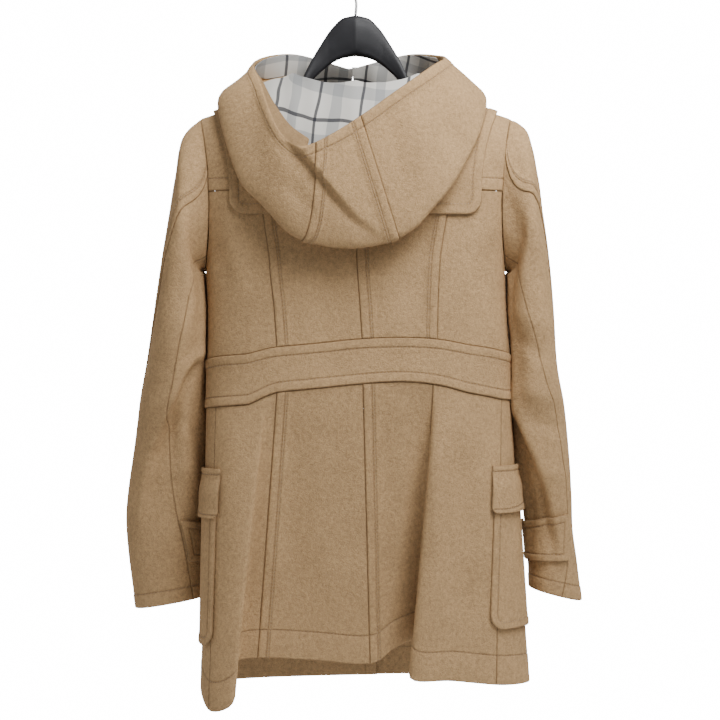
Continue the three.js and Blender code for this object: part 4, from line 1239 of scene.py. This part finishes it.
class LiningSettings(bpy.types.PropertyGroup):
    """The hood's checked cotton lining."""

    check_size: size_setting("Check size", "Distance from one check to the next", 0.052)
    broad_width: size_setting("Broad line", "Width of the check's broad lines", 0.0125)
    fine_width: size_setting("Fine line", "Width of the check's fine lines", 0.0036)
    ground: colour_setting("Ground", "Colour of the lining's ground", (0.51, 0.495, 0.46))
    broad: colour_setting("Broad line colour", "Colour of the broad lines", (0.17, 0.18, 0.19))
    wander: size_setting("Wander", "How far the check wanders in the gathered lining", 0.012)
    fine: colour_setting("Fine line colour", "Colour of the fine lines", (0.012, 0.013, 0.02))


class FittingsSettings(bpy.types.PropertyGroup):
    """Toggles, loops, patches and the hanger."""

    horn_colour: colour_setting("Horn", "Colour of the toggles", (0.10, 0.055, 0.03))
    leather_colour: colour_setting("Leather", "Colour of the patches", (0.10, 0.06, 0.033))
    cord_colour: colour_setting("Cord", "Colour of the loops", (0.16, 0.1, 0.05))
    plastic_colour: colour_setting("Plastic", "Colour of the hanger", (0.012, 0.012, 0.014))
    steel_colour: colour_setting("Steel", "Colour of the hook", (0.6, 0.6, 0.6))


class StageSettings(bpy.types.PropertyGroup):
    """Floor, light and camera."""

    camera_x: size_setting("Camera across", "The camera's place across the coat", -0.0056)
    camera_distance: size_setting("Camera distance", "From the camera to the hanger", 2.2)
    camera_z: size_setting("Camera height", "The camera's height against the hook", -0.503)
    field: size_setting("Field", "Width of the picture at the hanger", 0.9)
    floor_z: size_setting("Floor height", "Height of the floor against the hook", -1.26)
    floor_radius: size_setting("Floor radius", "Radius of the floor", 1.4)
    ambient: number_setting("Ambient light", "Strength of the light from all round", 0.22)
    backdrop: number_setting(
        "Backdrop", "Brightness of the white that the camera sees behind the coat", 16.0)
    key_power: number_setting("Key power", "Power of the large light over the camera", 26.0, "POWER")
    top_power: number_setting("Top power", "Power of the light over the coat", 32.0, "POWER")


def side_seam(is_left, is_back):
    return lambda level: edge_angle(level, is_left, is_back)


def princess(name):
    top, waist = PRINCESS[name]
    return lambda level: lerp(top, waist, np.clip(level / WAIST_LEVEL, 0, 1))


def bodice_place(start, end):
    """A panel of the bodice between two seams, from the waistband up to the chest."""
    drop = UNDERARM - CHEST

    def place(s, r):
        guess = lerp(start(WAIST_LEVEL), end(WAIST_LEVEL), s)
        bottom = band_edge("top", guess) - CHEST
        high = drop * np.cos(np.radians(90 * (r - UNDERARM_SHARE) / (1 - UNDERARM_SHARE)))
        low = lerp(bottom, drop, r / UNDERARM_SHARE)
        level = np.minimum(np.where(r < UNDERARM_SHARE, low, high), 0)
        return lerp(start(level), end(level), s), level

    return place


def front_place(is_left):
    """A front panel from the waistband to the shoulder seam and the neck."""
    edge_x = LEFT_FRONT_EDGE_X if is_left else RIGHT_FRONT_EDGE_X

    def edge(level):
        return angle_at(edge_x + 0 * level, CHEST + level, False)

    panel = bodice_place(side_seam(is_left, False), edge)

    def place(s, r):
        low_angle, low_level = panel(1 - s if is_left else s, np.minimum(r / CHEST_SHARE, 1))
        reach = neck_turn(body(low_angle, 0 * r)[..., 0], False)
        high_level = reach * np.maximum(r - CHEST_SHARE, 0) / (1 - CHEST_SHARE)
        return low_angle, np.where(r < CHEST_SHARE, low_level, high_level)

    return place


def yoke_place(s, r):
    angle = lerp(edge_angle(0 * s, True, True), edge_angle(0 * s, False, True), s)
    reach = neck_turn(body(angle, 0 * s)[..., 0], True)
    return angle, lerp(YOKE_SEAM_TURN, reach - YOKE_SEAM_TURN, r)


def span_place(start, end, other):
    """A piece between two angles or rows of a surface; other gives its level at a share up the piece."""
    def place(s, r):
        along = lerp(start, end, s)
        return along, other(along, r)

    return place


class COAT_OT_bodice(bpy.types.Operator):
    """Sews the back panels, the yoke and the two fronts"""

    bl_idname = "coat.bodice"
    bl_label = "Bodice"

    def execute(self, context):
        seams = [side_seam(True, True), *map(princess, PRINCESS), side_seam(False, True)]
        panels = {
            "side_left": {},
            "centre_left": {"left": FELLED},
            "centre_right": {"left": FELLED, "right": FELLED},
            "side_right": {},
        }
        for (name, edges), start, end in zip(panels.items(), seams[:-1], seams[1:]):
            cloth_piece(f"back_{name}", body, bodice_place(start, end), edges, folds=FOLDS)
        cloth_piece("back_yoke", body, yoke_place, {"bottom": Edge((15,), 1.2)}, folds=FOLDS)
        cloth_piece("front_left", body, front_place(True), {"left": FRONT_EDGE})
        cloth_piece("front_right", lapped(body), front_place(False), {"right": FRONT_EDGE})
        return {"FINISHED"}


class COAT_OT_waistband(bpy.types.Operator):
    """Sews the three pieces of the waistband"""

    bl_idname = "coat.waistband"
    bl_label = "Waistband"

    def execute(self, context):
        left_edge = float(angle_at(LEFT_FRONT_EDGE_X, BAND_MIDDLE, False))
        right_edge = float(angle_at(RIGHT_FRONT_EDGE_X, BAND_MIDDLE, False))
        sewn = Edge((11.5,), 1.0)
        pieces = (
            ("back", body, 0, 180, {}),
            ("front_left", body, left_edge, 360, {"left": sewn}),
            ("front_right", lapped(body), 180, right_edge, {"right": sewn}),
        )

        def level(angle, r):
            return lerp(band_edge("bottom", angle), band_edge("top", angle), r) - CHEST

        for name, surface, start, end, sides in pieces:
            cloth_piece(f"waistband_{name}", surface, span_place(start, end, level),
                        {"bottom": sewn, "top": sewn} | sides, lift=BAND_PROUD, folds=FOLDS)
        return {"FINISHED"}


def row_at_x(x):
    """The row of the skirt's front that hangs at a place across it."""
    rows = np.linspace(*SKIRT_FRONT_ROWS, 400)
    return np.interp(x, skirt(rows, 0 * rows + 0.5)[:, 0], rows)


class COAT_OT_skirt(bpy.types.Operator):
    """Sews the six panels of the skirt"""

    bl_idname = "coat.skirt"
    bl_label = "Skirt"

    def execute(self, context):
        right_edge = float(row_at_x(RIGHT_FRONT_EDGE_X))
        left_edge = float(row_at_x(LEFT_FRONT_EDGE_X))
        hem = Edge((36,), 0.7)
        panels = (
            ("side_left", skirt, LEFT_SIDE_ROW, LEFT_PRINCESS_ROW, {}),
            ("centre_left", skirt, LEFT_PRINCESS_ROW, CENTRE_BACK_ROW, {"left": FELLED}),
            ("centre_right", skirt, CENTRE_BACK_ROW, RIGHT_PRINCESS_ROW, {"left": FELLED}),
            ("side_right", skirt, RIGHT_PRINCESS_ROW, RIGHT_SIDE_ROW, {}),
            ("front_right", lapped(skirt), RIGHT_SIDE_ROW, right_edge, {"right": FRONT_EDGE}),
            ("front_left", skirt, left_edge, SKIRT_ROWS + LEFT_SIDE_ROW, {"left": FRONT_EDGE}),
        )

        def drop(row, r):
            return np.maximum(1 - r, SKIRT_SEAM_DROP)

        for name, surface, start, end, sides in panels:
            cloth_piece(f"skirt_{name}", surface, span_place(start, end, drop), sides | {"bottom": hem},
                        folds=FOLDS)
        return {"FINISHED"}


def sleeve_place(sizes, start, end, low_row, high_row):
    """A piece of a sleeve between two seams, each an angle or a column with degrees added to it."""
    def at(seam, row):
        name, added = seam
        return (0 * row if name is None else column(sizes[name], np.maximum(row, -1))) + added

    def place(s, r):
        row = lerp(low_row, high_row, r)
        return lerp(at(start, row), at(end, row), s), row

    return place


class COAT_OT_sleeves(bpy.types.Operator):
    """Sews both sleeves, each of three pieces, with a strap at the cuff"""

    bl_idname = "coat.sleeves"
    bl_label = "Sleeves"

    def execute(self, context):
        back, low, front = ("back_seam", 0), ("low_seam", 0), (None, FRONT_SLEEVE_SEAM)
        pieces = (
            ("top", (None, FRONT_SLEEVE_SEAM - 360), back, {"right": FELLED}),
            ("back", back, low, {}),
            ("under", low, front, {}),
        )
        cuff = Edge((18,), 0.8)
        for side, sizes, hand in (("left", LEFT_SLEEVE, 1), ("right", RIGHT_SLEEVE, -1)):
            face = sleeve_face(sizes, hand)
            last = len(sizes["outer_x"]) - 1
            elbow = tucked(hand, overlap(ELBOW_FOLDS[side], *ELBOW_SPREADS))
            for name, start, end, sides in pieces:
                cloth_piece(f"sleeve_{side}_{name}", face, sleeve_place(sizes, start, end, last, -1),
                            sides | {"bottom": cuff}, side=hand, pitch=SLEEVE_PITCH, folds=FOLDS, shape=elbow)
            strap = sleeve_place(sizes, ("low_seam", STRAP_SEAM_GAP), (None, STRAP_END), *STRAP_ROWS)
            edges = dict.fromkeys(("bottom", "top", "left"), Edge((9,), 0.8))
            cloth_piece(f"cuff_strap_{side}", face, strap, edges, side=hand, lift=STRAP_LIFT, shape=elbow,
                        pitch=FINE_PITCH, held="laid")
        return {"FINISHED"}


def cape_face(is_left):
    """The body's face along a path over the shoulder: below 90 at the back, over 90 at the front."""
    def face(x, path):
        is_back = path <= 90
        level = np.minimum(path, 180 - path)
        here = body(angle_at(x, CHEST + np.minimum(level, 0), is_back), level)
        if not is_left:
            here[..., 1] -= np.where(is_back, 0, lap_lift(here[..., 0]))
        return here

    return face


def cape_place(is_left):
    """Half of the cape, from its hem at the back over the shoulder to its hem at the front."""
    round_end = CAPE_DROP - CAPE_CORNER
    stops = [-CAPE_DROP, -round_end, 0, 90, 180, 180 + round_end, 180 + CAPE_DROP]

    def place(s, r):
        path = np.interp(r, CAPE_SHARES, stops)
        below = np.maximum(np.maximum(-path, path - 180), 0)
        turn = np.clip(np.minimum(path, 180 - path), 0, 90)
        low = np.where(path <= 90, NECK_BACK_TURN, NECK_FRONT_TURN)
        rise = np.clip((turn - low) / (90 - low), 0, 1)
        neck = NECK_HALF_WIDTH * np.sqrt(1 - (1 - rise) ** 2)
        left = np.clip(CAPE_DROP - below, 0, CAPE_CORNER)
        corner = CAPE_CORNER - np.sqrt(CAPE_CORNER**2 - (CAPE_CORNER - left) ** 2)
        edge = lerp(CAPE_EDGE_CHEST_X, CAPE_EDGE_SHOULDER_X, np.sin(np.radians(turn)) ** 2)
        outer = edge - corner
        inner = np.maximum(neck, np.where(path > 90, CAPE_FRONT_X, 0))
        return (lerp(outer, inner, s) if is_left else lerp(-inner, -outer, s)), path

    return place


class COAT_OT_cape(bpy.types.Operator):
    """Sews the two halves of the cape over the yoke"""

    bl_idname = "coat.cape"
    bl_label = "Cape"

    def execute(self, context):
        for side in ("left", "right"):
            is_left = side == "left"
            edges = dict.fromkeys(("bottom", "top", side), Edge((12.5,), 1.0))
            cloth_piece(f"cape_{side}", cape_face(is_left), cape_place(is_left), edges, lift=OVERLAY,
                        folds=FOLDS, held="laid")
        return {"FINISHED"}


def hood_place(start, end):
    """A panel of the hood; its left seam leans towards the opening."""
    def at(row, turn):
        lean = HOOD_LEFT_SEAM_LEAN * np.maximum(-turn, 0) / 90
        return row + lean * (row == HOOD_LEFT_SEAM_ROW)

    def place(s, r):
        turn = lerp(-90, 90, r)
        return lerp(at(start, turn), at(end, turn), s), turn

    return place


def rolled_in(rim):
    """How far the hem of the hood's left side turns into the opening, where it is seen from behind."""
    x, y = rim[..., 0], rim[..., 1]
    width = ROLL_WIDTH * ramp(-x, *ROLL_START_X) * (1 - ramp(-x, *ROLL_END_X)) * ramp(y, *ROLL_FROM_Y)
    return width[..., None] * np.array(ROLL_DIRECTION)


class COAT_OT_hood(bpy.types.Operator):
    """Sews the hood's three panels"""

    bl_idname = "coat.hood"
    bl_label = "Hood"

    def execute(self, context):
        welt = Edge((11.5, 14.2), 1.7)
        panels = (
            ("left", 0, HOOD_LEFT_SEAM_ROW, {}, 2),
            ("centre", HOOD_LEFT_SEAM_ROW, HOOD_RIGHT_SEAM_ROW, {"left": welt, "right": welt}, 2),
            ("right", HOOD_RIGHT_SEAM_ROW, HOOD_LAST_ROW, {}, 1.5),
        )
        for name, start, end, sides, backed in panels:
            hem = Edge((13.5,), 1.5, backed)
            cloth_piece(f"hood_{name}", hood_face, hood_place(start, end), sides | {"bottom": hem}, side=-1,
                        pitch=HOOD_PITCH, held="folded", folds=FOLDS,
                        shape=overlap(HOOD_FOLD, *HOOD_SPREADS), roll=rolled_in)
        return {"FINISHED"}


def gathers(grid):
    """Soft gathers that run down the lining."""
    x = grid[..., 0]
    broad, wander, fine = (x / reach for reach in GATHER_LENGTHS)
    wave = np.sin(broad + np.sin(wander)) + 0.6 * np.sin(fine + 1.2)
    return -GATHER_DEPTH * (1.6 + wave)


def lining_face(row, turn):
    """The hood's face, carried on at both front ends until the lining meets itself."""
    here = hood_face(np.clip(row, 0, HOOD_LAST_ROW), turn)
    here[..., 0] += LINING_ROW_WIDTH * (np.maximum(row - HOOD_LAST_ROW, 0) - np.maximum(-row, 0))
    return here


def lining_place(first, last, low, high):
    """A piece of the lining between two columns of the hood's solid and two of its rows."""
    rows = (-LINING_MEETS, HOOD_LEFT_SEAM_ROW, HOOD_RIGHT_SEAM_ROW, HOOD_LAST_ROW + LINING_MEETS)

    def place(s, r):
        turn = np.interp(lerp(low, high, r), HOOD_STEPS, (-90, 0, 90))
        return np.interp(lerp(first, last, s), HOOD_COLUMNS, rows), turn

    return place


class COAT_OT_lining(bpy.types.Operator):
    """Sews the checked lining inside the hood"""

    bl_idname = "coat.lining"
    bl_label = "Hood lining"

    def execute(self, context):
        cloth = context.scene.coat_cloth.thickness / MM

        def inside(grid):
            return -cloth - LINING_GAP + gathers(grid)

        for name, *span in LINING_PIECES:
            cloth_piece(f"hood_lining_{name}", lining_face, lining_place(*span), side=-1, lift=inside,
                        thickness=LINING_THICKNESS, slot="hood_lining", pitch=LINING_PITCH, held="folded")
        return {"FINISHED"}


def row_after(row, z, distance):
    """The row of the skirt that lies a distance round from another one."""
    count = 40
    step = 0.01
    for _ in range(count):
        ahead = skirt_at(np.array(row + step), z)
        behind = skirt_at(np.array(row - step), z)
        row += distance / count / (np.linalg.norm(ahead - behind) / (2 * step))
    return row


def patch_place(sizes, part, beyond, corner):
    """The pocket or its flap, which goes beyond the pocket; its two lower corners are rounded."""
    bottom, top = sizes[part + "bottom"], sizes[part + "top"]
    direction = sizes["direction"]
    middle = (sizes["top"] + sizes["bottom"]) / 2
    rear = row_after(sizes["rear_row"], middle, -direction * beyond)
    fore = row_after(sizes["rear_row"], middle, direction * (POCKET_LENGTH + beyond))
    low, high = sorted((rear, fore))

    def place(s, r):
        turn = np.radians(90 * np.minimum(r / CORNER_SHARE, 1))
        low_z = bottom + corner * (1 - np.cos(turn))
        high_z = lerp(bottom + corner, top, (r - CORNER_SHARE) / (1 - CORNER_SHARE))
        z = np.where(r < CORNER_SHARE, low_z, high_z)
        inset = corner * (1 - np.sin(turn))
        first = moved(skirt_at, low + 0 * s, z, inset)
        last = moved(skirt_at, high + 0 * s, z, -inset)
        return lerp(first, last, s), z

    return place


class COAT_OT_pockets(bpy.types.Operator):
    """Sews the two patch pockets and their flaps"""

    bl_idname = "coat.pockets"
    bl_label = "Pockets"

    def execute(self, context):
        for side, sizes in (("left", LEFT_POCKET), ("right", RIGHT_POCKET)):
            edges = dict.fromkeys(("left", "right", "bottom"), Edge((9.5,), 0.9)) | {"top": Edge((20,), 0.7)}
            place = patch_place(sizes, "", 0, POCKET_CORNER)
            cloth_piece(f"pocket_{side}", skirt_at, place, edges, pitch=FINE_PITCH, lift=OVERLAY, held="laid")

            def over_pocket(grid, sizes=sizes):
                return OVERLAY + OVERLAY * ramp(-grid[..., 2], -sizes["flap_top"] + 4, -sizes["top"] - 1)

            edges = {"bottom": Edge((9.5,), 1.0), "top": Edge((7.5,), 0.9)}
            place = patch_place(sizes, "flap_", FLAP_OVERHANG, FLAP_CORNER)
            cloth_piece(f"pocket_flap_{side}", skirt_at, place, edges, pitch=FINE_PITCH, lift=over_pocket,
                        held="laid")
        return {"FINISHED"}


def front_face(is_right):
    """The coat's front, by the place across it and the height."""
    def face(x, z):
        x, z = np.broadcast_arrays(np.asarray(x, float), np.asarray(z, float))
        on_body = z > band_edge("top", 270 + 0 * x)
        here = np.where(on_body[..., None], body(angle_at(x, z, False), z - CHEST), skirt_at(row_at_x(x), z))
        here[..., 1] -= lap_lift(x) if is_right else 0
        return here

    return face


def round_faces(rings, sides):
    """Faces of a stack of rings closed by a point at each end."""
    index = np.arange(rings * sides).reshape(rings, sides)
    after = np.roll(index, -1, 1)
    quads = np.stack([index[:-1], after[:-1], after[1:], index[1:]], -1).reshape(-1, 4).tolist()
    first, last = rings * sides, rings * sides + 1
    quads += [(first, int(b), int(a)) for a, b in zip(index[0], after[0])]
    quads += [(last, int(a), int(b)) for a, b in zip(index[-1], after[-1])]
    return quads


def round_form(name, grid, tips, slot, node):
    """A closed piece made of rings of points with a tip at each end, which stands for one solid."""
    vertices = np.concatenate([grid.reshape(-1, 3), tips])
    piece = add_mesh(name, vertices, round_faces(*grid.shape[:2]), finishes()[slot])
    carry(piece, slot, node)


def circle(sides):
    return 2 * np.pi * np.arange(sides) / sides


def tube(path, radius, sides, steps, strands=0):
    """Rings and tips of a tube along a smooth path; strands twist round it."""
    path = np.asarray(path, float)
    row = np.linspace(0, len(path) - 1, steps)
    line = np.stack([column(path[:, axis], row) for axis in range(3)], -1)
    along = np.gradient(line, axis=0)
    along /= length(along)[:, None]
    up = np.array([0, 1.0, 0]) - along * along[:, 1:2]
    up /= length(up)[:, None]
    out = np.cross(along, up)
    turn = circle(sides)
    size = np.full((steps, sides), float(radius))
    if strands:
        twist = 2 * np.pi * arc(line, 0)[:, None] / (4 * radius)
        size *= 1 - STRAND_DEPTH * abs(np.sin((turn[None, :] * strands + twist) / 2))
    ring = np.cos(turn)[None, :, None] * out[:, None] + np.sin(turn)[None, :, None] * up[:, None]
    tips = [line[0] - along[0] * radius * 0.5, line[-1] + along[-1] * radius * 0.5]
    return line[:, None] + ring * size[..., None], tips


def patch(name, face, middle, z):
    """A leather patch on the coat's front."""
    def place(s, r):
        return (middle + lerp(-PATCH_HALF_WIDTH, PATCH_HALF_WIDTH, s),
                z + lerp(-PATCH_HALF_HEIGHT, PATCH_HALF_HEIGHT, r))

    edges = dict.fromkeys(("left", "right", "bottom", "top"), Edge((3,), 0.0))
    cloth_piece(name, face, place, edges, thickness=PATCH_THICKNESS, lift=PATCH_THICKNESS + LAID_GAP,
                pitch=FINE_PITCH, slot="patch_leather", held=None)


class COAT_OT_toggles(bpy.types.Operator):
    """Makes the toggles, their cord loops and the leather patches"""

    bl_idname = "coat.toggles"
    bl_label = "Toggles"

    def execute(self, context):
        right_face = front_face(True)
        along = np.linspace(0, 1, TOGGLE_RINGS + 2)[1:-1]
        radius = TOGGLE_RADIUS * np.sin(np.pi * along) ** TOGGLE_BLUNTNESS
        radius -= TOGGLE_WAIST_DEPTH * np.exp(-(((along - 0.5) * TOGGLE_LENGTH / TOGGLE_WAIST_WIDTH) ** 2))
        turn = circle(24)
        start_x = LOOP_PATCH_X + PATCH_HALF_WIDTH + 1.5
        for number, z in enumerate(TOGGLE_HEIGHTS, 1):
            patch(f"loop_patch_{number}", right_face, LOOP_PATCH_X, z)
            patch(f"toggle_patch_{number}", front_face(False), TOGGLE_PATCH_X, z)
            cord_y = float(right_face(0, z)[1]) - LOOP_RADIUS - LAID_GAP
            start_y = float(right_face(start_x, z)[1]) - LOOP_RADIUS - LOOP_LIFT
            high = z + LOOP_SPREAD
            half = [(start_x, start_y, high), (0, cord_y, high), (TOGGLE_X, cord_y, high)]
            back = [(x, y, 2 * z - height) for x, y, height in reversed(half)]
            path = [*half, (TOGGLE_X + LOOP_SPREAD + 3, cord_y, z), *back]
            round_form(f"toggle_loop_{number}_cord", *tube(path, LOOP_RADIUS, 12, 120, 3), "cord",
                       f"toggle_loop_{number}")
            y = cord_y - LOOP_RADIUS - TOGGLE_RADIUS - LAID_GAP
            x = TOGGLE_X + (along - 0.5) * TOGGLE_LENGTH
            grid = points(x[:, None], y + radius[:, None] * np.cos(turn), z + radius[:, None] * np.sin(turn))
            tips = [(TOGGLE_X - TOGGLE_LENGTH / 2, y, z), (TOGGLE_X + TOGGLE_LENGTH / 2, y, z)]
            round_form(f"toggle_{number}_horn", grid, tips, "toggle_horn", f"toggle_{number}")
        return {"FINISHED"}


class COAT_OT_hanger(bpy.types.Operator):
    """Moulds the hanger's body and bends its hook"""

    bl_idname = "coat.hanger"
    bl_label = "Hanger"

    def execute(self, context):
        reach = float(HANGER["x"][-1])
        x = np.linspace(-reach, reach, HANGER_STATIONS)
        window = np.hanning(HANGER_SOFTNESS) / np.hanning(HANGER_SOFTNESS).sum()

        def softened(name):
            sizes = np.pad(np.interp(abs(x), HANGER["x"], HANGER[name]), HANGER_SOFTNESS // 2, mode="edge")
            return np.convolve(sizes, window, mode="valid")

        top, bottom, half_depth = map(softened, ("top", "bottom", "half_depth"))
        c, s = squared(np.degrees(circle(40)), HANGER_SQUARENESS)
        middle = (top + bottom) / 2
        half = (top - bottom) / 2
        hollow = np.minimum(abs(x) / HANGER_RIDGE_REACH, 1) * (1 - ramp(abs(x), *HANGER_RIDGE_END))
        ridge = 1 - HANGER_RIDGE_DEPTH * hollow
        lip = 1 + HANGER_LIP_DEPTH * ramp(abs(s), 0.72, 0.9)
        depth = half_depth[:, None] * c * np.minimum(ridge[:, None] * lip, HANGER_WIDEST)
        grid = points(x[:, None], depth, middle[:, None] + half[:, None] * s)
        ends = [(-reach, 0, middle[0]), (reach, 0, middle[-1])]
        round_form("hanger_body_plastic", grid, ends, "hanger_plastic", "hanger_body")
        radius = HOOK_INNER_RADIUS + HOOK_WIRE_RADIUS
        path = [(0, 0, HANGER["top"][0]), (0, 0, -HOOK_INNER_RADIUS - radius - HOOK_STEM)]
        for angle in range(-50, 201, 25):
            swing = math.radians(angle)
            path.append((radius * math.cos(swing), 0, -HOOK_INNER_RADIUS + radius * math.sin(swing)))
        round_form("hanger_hook_wire", *tube(path, HOOK_WIRE_RADIUS, 14, 140), "hook_steel", "hanger_hook")
        return {"FINISHED"}


class COAT_OT_stage(bpy.types.Operator):
    """Sets up the floor, the light and the camera"""

    bl_idname = "coat.stage"
    bl_label = "Stage"

    def execute(self, context):
        stage = context.scene.coat_stage
        turn = circle(FLOOR_SIDES)
        radius = stage.floor_radius / MM
        ring = points(np.cos(turn) * radius, np.sin(turn) * radius, stage.floor_z / MM)
        paper = Finish("floor_paper", Roughness=0.9, Specular_IOR_Level=0.1)
        tone = paper.mix(paper.noise(300, 2.0), (0.86, 0.86, 0.86, 1), (0.9, 0.9, 0.9, 1))
        add_mesh("floor", ring, [range(FLOOR_SIDES)], paper.finish(tone))

        camera = bpy.data.objects.new("camera", bpy.data.cameras.new("camera"))
        context.collection.objects.link(camera)
        camera.location = (stage.camera_x, stage.camera_distance, stage.camera_z)
        camera.rotation_euler = (math.radians(90), 0, math.radians(180))
        camera.data.lens = camera.data.sensor_width * stage.camera_distance / stage.field
        context.scene.camera = camera

        world = bpy.data.worlds.new("studio")
        sky = Graph(world)
        chosen = {0: sky.node("ShaderNodeLightPath").outputs["Is Camera Ray"]}
        for slot, strength in enumerate((stage.ambient, stage.backdrop), 1):
            white = sky.node("ShaderNodeBackground", {"Color": (1, 1, 1, 1), "Strength": strength})
            chosen[slot] = white.outputs[0]
        mixed = sky.node("ShaderNodeMixShader", chosen)
        sky.node("ShaderNodeOutputWorld", {"Surface": mixed.outputs[0]})
        context.scene.world = world

        for name, power, share, size, place in LAMPS:
            lamp = bpy.data.lights.new(name, "AREA")
            lamp.energy = getattr(stage, power) * share
            lamp.size = size
            holder = bpy.data.objects.new(name, lamp)
            context.collection.objects.link(holder)
            holder.location = place
            away = Vector(place) - Vector(LAMP_AIM)
            holder.rotation_euler = away.to_track_quat("Z", "Y").to_euler()
        return {"FINISHED"}


class COAT_PT_pieces(bpy.types.Panel):
    """Lists the coat's pieces and their settings"""

    bl_label = "Duffle coat"
    bl_idname = "COAT_PT_pieces"
    bl_space_type = "VIEW_3D"
    bl_region_type = "UI"
    bl_category = "Coat"

    def draw(self, context):
        for operator in OPERATORS:
            self.layout.operator(operator.bl_idname)
        for key, group in SETTINGS.items():
            for name in group.__annotations__:
                self.layout.prop(getattr(context.scene, key), name)


SETTINGS = {
    "coat_cloth": ClothSettings,
    "coat_lining": LiningSettings,
    "coat_fittings": FittingsSettings,
    "coat_stage": StageSettings,
}
OPERATORS = (COAT_OT_stage, COAT_OT_hanger, COAT_OT_bodice, COAT_OT_waistband, COAT_OT_skirt, COAT_OT_sleeves,
             COAT_OT_cape, COAT_OT_hood, COAT_OT_lining, COAT_OT_pockets, COAT_OT_toggles)


def register():
    for group in SETTINGS.values():
        bpy.utils.register_class(group)
    for key, group in SETTINGS.items():
        setattr(bpy.types.Scene, key, bpy.props.PointerProperty(type=group))
    for operator in OPERATORS:
        bpy.utils.register_class(operator)
    bpy.utils.register_class(COAT_PT_pieces)


def unregister():
    bpy.utils.unregister_class(COAT_PT_pieces)
    for operator in reversed(OPERATORS):
        bpy.utils.unregister_class(operator)
    for key in SETTINGS:
        delattr(bpy.types.Scene, key)
    for group in reversed(list(SETTINGS.values())):
        bpy.utils.unregister_class(group)


def main():
    register()
    for operator in OPERATORS:
        group, name = operator.bl_idname.split(".")
        getattr(getattr(bpy.ops, group), name)()


if __name__ == "__main__":
    main()
